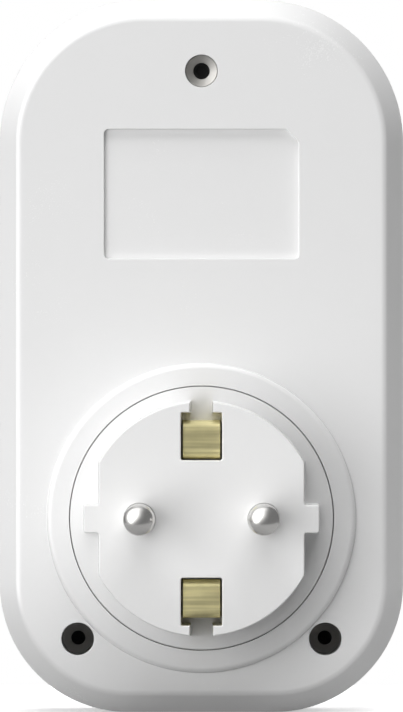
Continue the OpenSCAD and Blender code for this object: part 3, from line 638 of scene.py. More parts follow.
def finish(name, base, rough, shade=0.03, spread=0.05, stretch=(1, 1, 1), fineness=4000.0, lift=0.1, **more):
    """A material whose colour, roughness and normal come from the shared grain."""
    material, tree, shader = principled(name, **more)
    grain = put(tree, "ShaderNodeGroup", node_tree=bpy.data.node_groups["Surface grain"])
    values = {
        "Colour": (*base, 1), "Shade": shade, "Roughness": rough, "Spread": spread,
        "Stretch": stretch, "Fineness": fineness, "Lift": lift,
    }
    for label, value in values.items():
        grain.inputs[label].default_value = value
    tree.links.new(grain.outputs["Colour"], shader.inputs["Base Color"])
    tree.links.new(grain.outputs["Roughness"], shader.inputs["Roughness"])
    tree.links.new(grain.outputs["Normal"], shader.inputs["Normal"])
    return material


def board_finish(name):
    """Circuit board: copper tracks under green lacquer run along a grid, with tinned pads in rows."""
    material, tree, shader = principled(name, IOR=1.5)
    place = object_place(tree)
    flat = put(tree, "ShaderNodeMapping", {
        "Vector": place, "Rotation": (math.pi / 2, 0, 0),
    }).outputs["Vector"]
    tracks = put(tree, "ShaderNodeTexBrick", {
        "Vector": flat, "Scale": 1.0, "Mortar Size": 0.0004, "Mortar Smooth": 0.1,
        "Brick Width": 0.0095, "Row Height": 0.0031, "Color1": (0.012, 0.15, 0.06, 1),
        "Color2": (0.016, 0.19, 0.075, 1), "Mortar": (0.03, 0.27, 0.11, 1),
    }).outputs["Color"]
    dots = put(tree, "ShaderNodeTexVoronoi", {"Vector": flat, "Scale": 300.0, "Randomness": 0.35})
    pad = calculate(tree, "LESS_THAN", dots.outputs["Distance"], 0.16)
    tinned = put(tree, "ShaderNodeMix", {0: pad, 6: tracks, 7: (0.72, 0.71, 0.68, 1)}, data_type="RGBA")
    tree.links.new(tinned.outputs[2], shader.inputs["Base Color"])
    tree.links.new(pad, shader.inputs["Metallic"])
    tree.links.new(calculate(tree, "MULTIPLY_ADD", pad, -0.08, 0.38), shader.inputs["Roughness"])
    return material


def striped_rubber(name):
    """The bars that join the glass to its board: thin dark stripes across pale rubber."""
    material, tree, shader = principled(name)
    place = object_place(tree)
    wave = put(tree, "ShaderNodeTexWave", {"Vector": place, "Scale": 300.0}, bands_direction="X")
    ramp = put(tree, "ShaderNodeValToRGB", {"Fac": wave.outputs["Fac"]})
    for stop, position, tone in zip(
        ramp.color_ramp.elements, (0.35, 0.55), ((0.03, 0.03, 0.03, 1), (0.75, 0.42, 0.38, 1))
    ):
        stop.position = position
        stop.color = tone
    tree.links.new(ramp.outputs["Color"], shader.inputs["Base Color"])
    return material


def make_finishes(look):
    """One material for each slot of the record."""
    surface_group()
    metal = {"Metallic": 1.0}
    glossy = {"Specular_IOR_Level": 0.8}
    made = {
        "case_plastic": finish(
            "Moulded case", look.case, look.case_gloss, 0.012, 0.04, lift=0.05, **glossy
        ),
        "insert_plastic": finish(
            "Moulded insert", look.insert, look.insert_gloss, 0.014, 0.05, lift=0.06, **glossy
        ),
        "carrier_plastic": finish("Contact carrier", (0.62, 0.62, 0.6), 0.5, 0.03),
        "shutter_plastic": finish("Shutter", look.shutter, 0.45, 0.02),
        "holder_plastic": finish("Glass holder", (0.55, 0.56, 0.57), 0.5, 0.03),
        "button_plastic": finish("Button cap", look.button, 0.42, 0.05, 0.06, lift=0.12),
        "plunger_plastic": finish("Switch plunger", (0.7, 0.68, 0.6), 0.5),
        "switch_plastic": finish("Switch body", (0.03, 0.03, 0.035), 0.45),
        "screw_steel": finish("Zinc plated steel", look.steel, 0.66, 0.12, 0.12, fineness=2500.0, **metal),
        "spring_steel": finish("Spring wire", (0.5, 0.5, 0.52), 0.3, 0.08, **metal),
        "pin_plating": finish(
            "Nickel plating", look.nickel, 0.26, 0.03, 0.03, (1, 0.05, 1), 900.0, 0.01, **metal
        ),
        "contact_brass": finish(
            "Rolled brass", look.brass, 0.42, 1.2, 0.25, (0.03, 1, 1), 1500.0, 0.35, **metal
        ),
        "shunt_metal": finish("Shunt strip", (0.62, 0.5, 0.4), 0.35, 0.1, **metal),
        "tinned_metal": finish("Tinned leads", (0.66, 0.66, 0.65), 0.3, 0.1, **metal),
        "board_laminate": board_finish("Lacquered board"),
        "chip_resin": finish("Chip resin", (0.022, 0.022, 0.024), 0.55, 0.1),
        "header_plastic": finish("Header plastic", (0.02, 0.02, 0.022), 0.45, 0.08),
        "fuse_ceramic": finish("Fuse ceramic", (0.78, 0.76, 0.7), 0.5, 0.05),
        "varistor_lacquer": finish("Varistor lacquer", (0.02, 0.09, 0.32), 0.3, 0.1),
        "film_cap_case": finish("Film capacitor case", (0.68, 0.5, 0.06), 0.4, 0.04),
        "can_sleeve": finish("Capacitor sleeve", (0.02, 0.03, 0.12), 0.3, 0.06),
        "resistor_lacquer": finish("Resistor lacquer", (0.25, 0.38, 0.5), 0.5, 0.05),
        "crystal_can": finish("Crystal can", (0.7, 0.7, 0.69), 0.25, 0.08, **metal),
        "cell_steel": finish("Cell steel", (0.68, 0.68, 0.67), 0.28, 0.1, **metal),
        "lcd_glass": finish("Liquid crystal", look.screen, 0.22, 0.03, 0.02, fineness=9000.0, lift=0.0),
        "stripe_rubber": striped_rubber("Striped rubber"),
    }
    clear, tree, shader = principled("Clear acrylic", IOR=1.49, Transmission_Weight=1.0, Metallic=0.0)
    shader.inputs["Base Color"].default_value = (0.97, 0.985, 0.99, 1)
    place = object_place(tree)
    cloud = put(tree, "ShaderNodeTexNoise", {"Vector": place, "Scale": 300.0, "Detail": 3.0}).outputs["Fac"]
    tree.links.new(calculate(tree, "MULTIPLY_ADD", cloud, 0.04, 0.01), shader.inputs["Roughness"])
    made["lens_acrylic"] = clear
    made["border"] = finish("Window border", (0.03, 0.032, 0.036), 0.35, 0.05)
    made["segments"] = finish("Display segments", (0.03, 0.035, 0.03), 0.4, 0.05)
    # Painted shade: a near-black finish for the liners at the bottom of the screw sockets, where the deep
    # recess is only in shade
    made["socket_shade"] = finish(
        "Painted socket shade", (0.006, 0.006, 0.006), 0.8, 0.2, Specular_IOR_Level=0.2
    )
    made["mark"] = finish("Button mark", (0.8, 0.8, 0.8), 0.5, 0.03)
    return made


FINISHES = {}


# ---- The pieces ------------------------------------------------------------

class PLUGMETER_OT_finishes(bpy.types.Operator):
    """Make the procedural finishes and give one to every node of the frame"""
    bl_idname = "plugmeter.finishes"
    bl_label = "Finishes"

    def execute(self, context):
        FINISHES.update(make_finishes(context.scene.plugmeter_finish))
        for part in frame["record"]["subparts"]:
            slots = frame["nodes"][part["node"]].data.materials
            slots.clear()
            slots.append(FINISHES[part["material_slot"]])
        return {"FINISHED"}


class PLUGMETER_OT_rear_shell(bpy.types.Operator):
    """Build the rear shell: bevelled back, boss, label recess, screw wells and posts in one skin"""
    bl_idname = "plugmeter.rear_shell"
    bl_label = "Rear shell"

    def execute(self, context):
        case = in_mm(context.scene.plugmeter_case)
        back, inside, wall = case.back, case.back + case.face_wall, case.wall
        rebate = case.parting - case.lip - case.lip_gap
        skin = Skin(FROM_BEHIND)
        shell = profile(
            (inside, -wall), (rebate, -wall), (rebate, -wall / 2), (case.parting, -wall / 2),
            (case.parting, 0, case.parting_edge), (back + case.bevel, 0, case.bevel_edge),
            (back, -case.bevel, case.softness), (back, -case.flat_margin),
        )
        inner_rim, outer_rim = skin.wall(case_outline(case), shell)
        boss = profile(
            (back, case.boss_radius + 0.12), (back, case.boss_radius, 0.1),
            (case.boss_face, case.boss_radius, case.boss_softness),
            (case.boss_face, case.insert_hole, 0.04), (inside, case.insert_hole),
        )
        boss_ring, boss_inner = skin.wall(disc((0, 0), 144), boss)
        floor = back + case.label_depth
        label = profile((back, 0.2), (back, 0, 0.04), (floor, -0.02, 0.06), (floor, -0.2))
        label_ring, floor_ring = skin.wall(label_outline(case), label)
        outer_holes, inner_holes = [boss_ring, label_ring], [boss_inner]
        skin.cap(floor, -1, floor_ring)
        shaft_hole, sleeve, post_bore, post_radius = 1.4, 3.8, 1, 2.3
        for x, z, seat in screw_places(case):
            well = profile(
                (back, case.screw_hole + 0.14), (back, case.screw_hole, 0.12), (seat, case.screw_hole),
                (seat, shaft_hole), (seat + 2, shaft_hole), (seat + 2, sleeve), (inside, sleeve),
            )
            skin.hole(disc((x, z), 56), well, outer_holes, inner_holes)
        # The posts of the main board's screws and of the plug's, with each bore's end and each tip
        posts = [(x, z, 22, 28) for x, z in ((-22.5, 30), (22.5, 30), (-20, 66), (20, 66))]
        posts += [(way * EAR_X, EAR_Z, 19.4, 22.4) for way in (-1, 1)]
        for x, z, blind, tip in posts:
            post = profile(
                (blind, 0), (blind, post_bore), (tip, post_bore), (tip, post_radius, 0.2),
                (inside, post_radius),
            )
            inner_holes.append(skin.wall(disc((x, z), 24), post)[1])
        skin.cap(back, -1, outer_rim, *outer_holes)
        skin.cap(inside, 1, inner_rim, *inner_holes)
        skin.piece("rear_shell", "case", "case_plastic", ["rear_casing"])
        return {"FINISHED"}


class PLUGMETER_OT_plug(bpy.types.Operator):
    """Build the plug insert: the body with its flats, ribs and earth windows, its flange and hollows"""
    bl_idname = "plugmeter.plug"
    bl_label = "Plug insert"

    def execute(self, context):
        plug = in_mm(context.scene.plugmeter_plug)
        base, joint, back, deep, boss_end = plug.flange_depth, 20.9, 22.4, 3, 16
        pin_hole, wide_hole, boss_wall = plug.pin_radius + 0.03, 2.7, 4.15
        hollow = profile((deep, 0), (back, 0))
        skin = Skin(FROM_BEHIND)
        body = profile((base, plug.draft), (0, -plug.draft, plug.edge), (0, -0.3))
        foot, face = skin.wall(plug_outline(plug), body)
        flange = profile(
            (back, 22.25, 0.1), (joint, 22.25), (joint, plug.flange), (base, plug.flange, 0.05),
            (base, plug.flange - 0.6),
        )
        rim_inner, rim = skin.wall(disc((0, 0), 144), flange)
        face_holes, foot_holes, back_holes = [], [], []
        for way in (1, -1):
            x = way * plug.pin_x
            bore = profile(
                (0, plug.pin_radius + 0.35), (0, pin_hole, 0.12), (deep, pin_hole), (deep, wide_hole),
                (boss_end, wide_hole), (boss_end, boss_wall), (deep, boss_wall),
            )
            ring, boss = skin.wall(disc((x, 0), 40), bore)
            face_holes.append(ring)
            floor, mouth = skin.wall(pocket_outline(0 if way > 0 else 180), hollow)
            skin.cap(deep, 1, floor, boss)
            back_holes.append(mouth)
            low = 14.3 if way > 0 else -15.1
            slit = box_outline((-2.95, low), (2.95, low + 0.8))
            skin.hole(slit, profile((base, 0), (back, 0)), foot_holes, back_holes)
        floor, mouth = skin.wall(box_outline((-2.6, -7.5), (2.6, 7.5), 0.5), hollow)
        skin.cap(deep, 1, floor)
        back_holes.append(mouth)
        skin.cap(0, -1, face, *face_holes)
        skin.cap(base, -1, rim, foot, *foot_holes)
        skin.cap(back, 1, rim_inner, *back_holes)
        for way in (1, -1):
            skin.slab(side_box(way, 19.4, 22.3, 6, 12, 0.3), joint + 0.02, 24, 0.2)
            turn = 0 if way > 0 else 180
            middle, root, radius = (way * EAR_X, EAR_Z), way * 22.1, 2.3
            ear = Track([
                (root, EAR_Z - way * radius), arc(middle, radius, turn - 90, turn + 90, 12),
                (root, EAR_Z + way * radius),
            ])
            skin.slab(ear, back, 23.95, 0.2, [circle(middle, 1.05, 16)])
        skin.piece("plug_body", "case", "insert_plastic", ["plug_insert"])
        return {"FINISHED"}


class PLUGMETER_OT_pins(bpy.types.Operator):
    """Turn the two round pins with their tips, roots, collars and riveted tails"""
    bl_idname = "plugmeter.pins"
    bl_label = "Pins"

    def execute(self, context):
        plug = in_mm(context.scene.plugmeter_plug)
        r, tip = plug.pin_radius, plug.pin_radius - plug.pin_length
        tail, neck, collar, root = 2.0, 1.5, 3.5, 2.7
        for way, node in ((-1, "live_pin"), (1, "neutral_pin")):
            skin = Skin(FROM_BEHIND)
            turned = Track([
                (19.5, 0), (19.5, tail, 0.5), (18.3, tail), (18.3, neck), (17.5, neck),
                (17.5, collar, 0.2), (16, collar), (16, root), (3, root), (3, tail), (0, tail), (0, r, 0.05),
                arc((tip, 0), r, 90, 180, 20),
            ], closed=False)
            skin.wall(disc((way * plug.pin_x, 0), 72), turned)
            skin.piece(node + "_turned", "case", "pin_plating", [node])
        return {"FINISHED"}


class PLUGMETER_OT_straps(bpy.types.Operator):
    """Bend the two earth straps: along the side of the plug, over its end and back in"""
    bl_idname = "plugmeter.straps"
    bl_label = "Earth straps"

    def execute(self, context):
        plug = in_mm(context.scene.plugmeter_plug)
        half, edge = plug.strap_half, plug.strap_edge
        outer, inner, tip, foot = 1.2, 0.4, 5.8, 22.4
        bend_in, bend_out = (10.4, 2), (13.9, 2)
        side = Track([
            (bend_in[0] - outer, tip), arc(bend_in, outer, 180, 270, 12), arc(bend_out, outer, 270, 360, 12),
            (bend_out[0] + outer, foot), (bend_out[0] + inner, foot), arc(bend_out, inner, 360, 270, 12),
            arc(bend_in, inner, 270, 180, 12), (bend_in[0] - inner, tip),
        ])
        for name, lie in (("upper", FROM_THE_SIDE), ("lower", FROM_THE_SIDE_TURNED)):
            skin = Skin(lie)
            skin.slab(side, -half, half, edge)
            skin.piece("earth_strap_" + name, "case", "contact_brass", ["plug_earth_" + name])
        return {"FINISHED"}


class PLUGMETER_OT_case_screws(bpy.types.Operator):
    """Turn the three case screws: dished heads, with near-black liners at the bottom of their six-lobed
    sockets as painted shade
    """
    bl_idname = "plugmeter.case_screws"
    bl_label = "Case screws"

    def execute(self, context):
        case = in_mm(context.scene.plugmeter_case)
        skin, sockets = Skin(FROM_BEHIND), Skin(FROM_BEHIND)
        head, rim, shaft = 2.45, 2.34, 1.3
        for (x, z, seat), mouth in zip(screw_places(case), (1.28, 1.1, 1.1)):
            top, floor = seat - 2, seat - 0.5
            turned = profile(
                (seat + 11, 0), (seat + 9.6, shaft), (seat, shaft), (seat, head), (top, head, 0.08),
                (top, rim), (top + 0.7, mouth), (floor, mouth), (floor, 0),
            )
            skin.wall(disc((x, z), 56), turned)
            # Each socket gets a near-black liner below the head: painted shade for the bottom of the deep
            # recess
            plug = circle((x, z), mouth - 0.02, 40)
            sockets.slab(plug, top + 0.85, floor - 0.15, 0.03, [star_outline((x, z), mouth * 0.75)])
            sockets.slab(plug, floor - 0.14, floor - 0.02, 0.03)
        skin.piece("case_screw_set", "case", "screw_steel", ["case_screws"])
        # The liners wear the near-black finish that paints the sockets' shade
        sockets.piece("case_screw_sockets", "case", "screw_steel", look="socket_shade")
        return {"FINISHED"}


class PLUGMETER_OT_front_shell(bpy.types.Operator):
    """Build the front shell: bevelled front, socket hole, window, button holes and pillars in one skin"""
    bl_idname = "plugmeter.front_shell"
    bl_label = "Front shell"

    def execute(self, context):
        case = in_mm(context.scene.plugmeter_case)
        front = in_mm(context.scene.plugmeter_front)
        face, inside, wall = -case.front, case.face_wall - case.front, case.wall
        lip = -(case.parting - case.lip)
        skin = Skin(FROM_THE_FRONT)
        shell = profile(
            (inside, -wall), (lip, -wall), (lip, -wall / 2 - case.lip_gap),
            (-case.parting, -wall / 2 - case.lip_gap), (-case.parting, 0, case.parting_edge),
            (face + case.bevel, 0, case.bevel_edge), (face, -case.bevel, case.softness),
            (face, -case.flat_margin),
        )
        inner_rim, outer_rim = skin.wall(case_outline(case), shell)
        outer_holes, inner_holes = [], []
        half_w, half_h = front.view_half_width, front.view_half_height
        view = box_outline((-half_w, front.view_z - half_h), (half_w, front.view_z + half_h), 0.4)
        lens_w, lens_h = half_w + 3.6, half_h + 3.3
        seat = box_outline(
            (-lens_w, front.view_z - lens_h), (lens_w, front.view_z + lens_h), front.lens_radius + 0.1
        )
        ledge = face + 1.2
        ring, step = skin.wall(seat, profile((face, 0.4), (face, 0, 0.15), (ledge, 0), (ledge, -0.5)))
        outer_holes.append(ring)
        ring, inner = skin.wall(view, profile((ledge, 0.3), (ledge, 0, 0.1), (inside, 0)))
        skin.cap(ledge, -1, step, ring)
        inner_holes.append(inner)
        through = [
            (disc((0, 0), 144), front.cup + 0.15),
            (disc((0, front.reset_z), 40), front.reset_radius + 0.2),
        ]
        gap = front.button_gap
        for i in range(4):
            at = ((i - 1.5) * front.button_pitch, front.button_z)
            through.append((bar_outline(at, front.button_half_width, front.button_half_height), gap))
        for outline, size in through:
            hole = profile((face, size + 0.4), (face, size, 0.2), (inside, size))
            skin.hole(outline, hole, outer_holes, inner_holes)
        # The pillars of the case screws, the display board's screws and the socket's, from their tips in
        pillars = [
            (x, z, seat + 2.2, blind, 3.2, 1.3)
            for (x, z, seat), blind in zip(screw_places(case), (34.5, 47, 47))
        ]
        pillars += [(x, z, 52, 57, 2.3, 1) for x in (-26.2, 26.2) for z in (29, 58)]
        pillars += [(x, 0, 52.8, 57.6, 2.3, 1) for x in (-25.4, 25.4)]
        for x, z, tip, blind, radius, bore in pillars:
            post = profile((-blind, 0), (-blind, bore), (-tip, bore), (-tip, radius, 0.2), (inside, radius))
            inner_holes.append(skin.wall(disc((x, z), 28), post)[1])
        skin.cap(face, -1, outer_rim, *outer_holes)
        skin.cap(inside, 1, inner_rim, *inner_holes)
        skin.piece("front_shell", "case", "case_plastic", ["front_casing"])
        return {"FINISHED"}


class PLUGMETER_OT_socket(bpy.types.Operator):
    """Build the socket insert: a cup with guide walls, pin holes and slots for the earth clips"""
    bl_idname = "plugmeter.socket"
    bl_label = "Socket insert"

    def execute(self, context):
        case = in_mm(context.scene.plugmeter_case)
        front = in_mm(context.scene.plugmeter_front)
        face, floor, back = -case.front, -front.floor, -front.floor_back
        pin_x = in_mm(context.scene.plugmeter_plug).pin_x
        slot_low, slot_high = -43.5, -57.5
        skin = Skin(FROM_THE_FRONT)
        slot = math.degrees(math.acos(front.slot_half / front.cup))
        cup = Track([
            arc((0, 0), 0, turn + start, turn + end, steps)
            for turn in (0, 180)
            for start, end, steps in ((-slot, slot, 60), (slot, 180 - slot, 6))
        ])
        shape = profile(
            (back, front.cup), (slot_low, front.cup), (RIM_BACK, front.cup), (RIM_BACK, RIM_RADIUS),
            (RIM_FRONT, RIM_RADIUS), (RIM_FRONT, front.cup), (slot_high, front.cup),
            (face, front.cup, 0.2), (face, front.cup - 0.5),
        )
        recess = recess_outline(front)
        bore = profile(
            (face, 0.28), (face, 0, 0.25), (slot_high, 0), (slot_low, 0), (floor, 0, 0.35), (floor, -0.5)
        )
        inner_angle = np.abs(recess.start[:, 0]) < front.slot_half + 1e-3
        inner_slot = inner_angle & np.roll(inner_angle, -1) & (np.abs(recess.start[:, 1]) > 15)
        outer_x = np.abs(cup.mitre[:, 0]) * front.cup < front.slot_half + 1e-3
        outer_slot = outer_x & np.roll(outer_x, -1) & (np.abs(cup.mitre[:, 1]) > 0.5)

        def rows(track):
            depth = (track.start[:, 0] + track.end[:, 0]) / 2
            return (depth < slot_low) & (depth > slot_high)

        back_ring, rim = skin.wall(cup, shape, rows(shape)[:, None] & outer_slot[None])
        mouth, floor_ring = skin.wall(recess, bore, rows(bore)[:, None] & inner_slot[None])
        self.close_slots(skin, recess, inner_slot, cup, outer_slot, front, slot_low, slot_high)
        floor_holes, back_holes = [], []
        for way in (1, -1):
            hole = profile(
                (floor, front.hole_radius + 0.6), (floor, front.hole_radius, 0.45), (back, front.hole_radius)
            )
            skin.hole(disc((way * pin_x, 0), 44), hole, floor_holes, back_holes)
        skin.cap(face, -1, rim, mouth)
        skin.cap(floor, -1, floor_ring, *floor_holes)
        skin.cap(back, 1, back_ring, *back_holes)
        skin.wall(disc((0, 0), 24), profile((-38.2, 0), (-38.2, 1.5, 0.2), (-40.9, 1.5), (-40.9, 0)))
        for way in (1, -1):
            ear = side_box(way, 21.2, 27.6, -2.3, 2.3, 1.5)
            skin.slab(ear, -52.8, -50.8, 0.2, [circle((way * 25.4, 0), 1, 16)])
        skin.piece("socket_cup", "case", "insert_plastic", ["socket_insert"])
        return {"FINISHED"}

    def close_slots(self, skin, recess, inner_slot, cup, outer_slot, front, low, high):
        """Joins the recess's wall to the cup's wall round each earth slot."""
        for way in (1, -1):
            inner = recess.start[inner_slot & (recess.start[:, 1] * way > 0)]
            inner = np.concatenate([inner, [[-inner[0, 0], inner[0, 1]]]])
            outer = cup.mitre[outer_slot & (cup.mitre[:, 1] * way > 0)] * front.cup
            outer = np.concatenate([outer, [[-outer[0, 0], outer[0, 1]]]])

            def at(points, depth):
                return np.concatenate([points, np.full((len(points), 1), float(depth))], axis=1)

            for depth, facing in ((low, -1.0), (high, 1.0)):
                a, b = at(inner, depth), at(outer, depth)
                strip = np.stack([a[:-1], a[1:], b[1:], b[:-1]], axis=1)
                if facing < 0:
                    strip = strip[:, ::-1]
                skin.add(strip, np.broadcast_to(np.array([0, 0, facing]), strip.shape))
            flange = cup.mitre[outer_slot & (cup.mitre[:, 1] * way > 0)] * RIM_RADIUS
            flange = np.concatenate([flange, [[-flange[0, 0], flange[0, 1]]]])
            for end in (0, -1):
                i, o, f = inner[end], outer[end], flange[end]
                faces = np.array([
                    [(*near, start), (*far, start), (*far, stop), (*near, stop)]
                    for near, far, start, stop in (
                        (i, o, low, RIM_BACK), (i, o, RIM_BACK, RIM_FRONT),
                        (o, f, RIM_BACK, RIM_FRONT), (i, o, RIM_FRONT, high),
                    )
                ])
                sign = -np.sign(i[0])
                if sign * way > 0:
                    faces = faces[:, ::-1]
                skin.add(faces, np.broadcast_to(np.array([sign, 0, 0.0]), faces.shape))


class PLUGMETER_OT_window(bpy.types.Operator):
    """Build the lens, its dark printed border, the liquid crystal and its seven-segment figures"""
    bl_idname = "plugmeter.window"
    bl_label = "Window and display"

    def execute(self, context):
        front = in_mm(context.scene.plugmeter_front)
        face, z = -LENS_BOX[1].y * 1000, front.view_z
        half_w, half_h = front.view_half_width, front.view_half_height

        def around(wider, higher, radius):
            half, height = half_w + wider, half_h + higher
            return box_outline((-half, z - height), (half, z + height), radius)

        skin = Skin(FROM_THE_FRONT)
        skin.slab(around(3.5, 3.2, front.lens_radius), face, face + 1.12, 0.15)
        skin.piece("window_pane", "case", "lens_acrylic", ["window_lens"])
        skin = Skin(FROM_THE_FRONT)
        skin.slab(around(3.3, 3, 1.9), face + 1.14, face + 1.19, 0.01, [around(-0.4, -0.4, 1)])
        skin.piece("window_border", "case", "lens_acrylic", look="border")
        skin = Skin(FROM_THE_FRONT)
        glass_low, glass_high = GLASS_BOX[0] * 1000, GLASS_BOX[1] * 1000
        pane = box_outline((glass_low.x, glass_low.z), (glass_high.x, glass_high.z), 0.2)
        skin.slab(pane, -glass_high.y, -glass_low.y, 0.08)
        skin.piece("liquid_crystal", "case", "lcd_glass", ["lcd_panel"])
        skin = Skin(FROM_THE_FRONT)
        lines = (("00:00:00", 3.2, 60.1), ("0000.0", 7.4, 51.8))
        for text, height, middle in lines:
            figures(skin, text, height, middle, -glass_high.y)
        skin.piece("display_figures", "case", "lcd_glass", look="segments")
        return {"FINISHED"}


def figures(skin, text, height, middle, depth):
    """Seven-segment noughts, dots and colons in a row: each segment is a bar with pointed ends, and the
    row leans by a tenth of its height."""
    thick, width = height * 0.13, height * 0.52
    step = width + height * 0.26
    spans = [step * (0.42 if c in ".:" else 1) for c in text]
    x = sum(spans) / 2
    for c, span in zip(text, spans):
        x -= span / 2
        if c in ".:":
            for z in ([-height / 2 + thick / 2] if c == "." else [-height * 0.22, height * 0.22]):
                bar(skin, (x, middle), (0, z), thick * 0.5, thick * 0.5, depth, 0)
        else:
            for z in (-height / 2, height / 2):
                bar(skin, (x, middle), (0, z), width / 2 - 0.06 * height, thick / 2, depth, 0)
            for side in (-1, 1):
                for z in (-height / 4, height / 4):
                    reach = height / 4 - 0.03 * height
                    bar(skin, (x, middle), (side * width / 2, z), reach, thick / 2, depth, 1)
        x -= span / 2


def bar(skin, origin, at, half_length, half_thick, depth, upright):
    """One segment, a hexagon a fortieth of a millimetre thick."""
    reach = max(half_length - half_thick, 0.0)
    ends = np.array([
        [half_length, 0], [reach, half_thick], [-reach, half_thick],
        [-half_length, 0], [-reach, -half_thick], [reach, -half_thick],
    ])
    if upright:
        ends = ends[:, ::-1] * (-1, 1)
    ends = ends + at
    ends[:, 0] -= ends[:, 1] * 0.1
    ends = np.array(origin) + ends
    _, where = np.unique(np.round(ends, 5), axis=0, return_index=True)
    ends = ends[np.sort(where)]
    skin.slab(Track([tuple(p) for p in ends]), depth - 0.03, depth - 0.005, 0.002)


class PLUGMETER_OT_buttons(bpy.types.Operator):
    """Build the four crowned button caps with a plain mark on each, and the small reset button"""
    bl_idname = "plugmeter.buttons"
    bl_label = "Buttons"

    def execute(self, context):
        front = in_mm(context.scene.plugmeter_front)
        half_w, half_h, z = front.button_half_width, front.button_half_height, front.button_z
        for i, name in enumerate(BUTTONS):
            box = [v * 1000 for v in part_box("button_" + name)]
            x, back, top = (box[0].x + box[1].x) / 2, -box[0].y, -box[1].y
            skin = Skin(FROM_THE_FRONT)
            cap = profile(
                (back, 0.9), (back, 1.1, 0.1), (back - 1.3, 1.1, 0.15), (back - 1.3, 0),
                (top + 0.28, 0, 0.75), (top + 0.1, -1.3, 3), (top + 0.05, -half_h),
            )
            base, _ = skin.wall(bar_outline((x, z), half_w, half_h), cap)
            skin.cap(back, 1, base)
            skin.piece("cap_" + name, name + "_button", "button_plastic", ["button_" + name])
            skin = Skin(FROM_THE_FRONT)
            for outline, hole in self.mark(name, x, z):
                skin.slab(outline, top + 0.005, top + 0.2, 0.02, hole)
            skin.piece("mark_" + name, name + "_button", "button_plastic", look="mark")
        box = [v * 1000 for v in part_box("button_reset")]
        back, top, r = -box[0].y, -box[1].y, front.reset_radius
        skin = Skin(FROM_THE_FRONT)
        cap = profile(
            (back, 0), (back, r + 0.8), (back - 1.4, r + 0.8, 0.1), (back - 1.4, r), (top, r, 0.25),
            (top, r * 0.62, 0.3), (top + 0.25, 0),
        )
        skin.wall(disc((0, front.reset_z), 40), cap)
        skin.piece("cap_reset", "reset_button", "button_plastic", ["button_reset"])
        return {"FINISHED"}

    def mark(self, name, x, z):
        """A button's mark as outlines with their holes: three bars, a triangle either way up, or a ring."""
        if name == "mode":
            heights = (z - 0.8, z, z + 0.8)
            return [(box_outline((x - 1.3, h - 0.16), (x + 1.3, h + 0.16)), ()) for h in heights]
        if name == "set":
            return [(circle((x, z), 1.15, 32), [circle((x, z), 0.75, 32)])]
        up = 1 if name == "up" else -1
        foot = z - up * 0.75
        return [(Track([(x - up * 1.2, foot), (x + up * 1.2, foot), (x, z + up * 1.05)]), ())]


# ---- The studio -------------------------------------------------------------

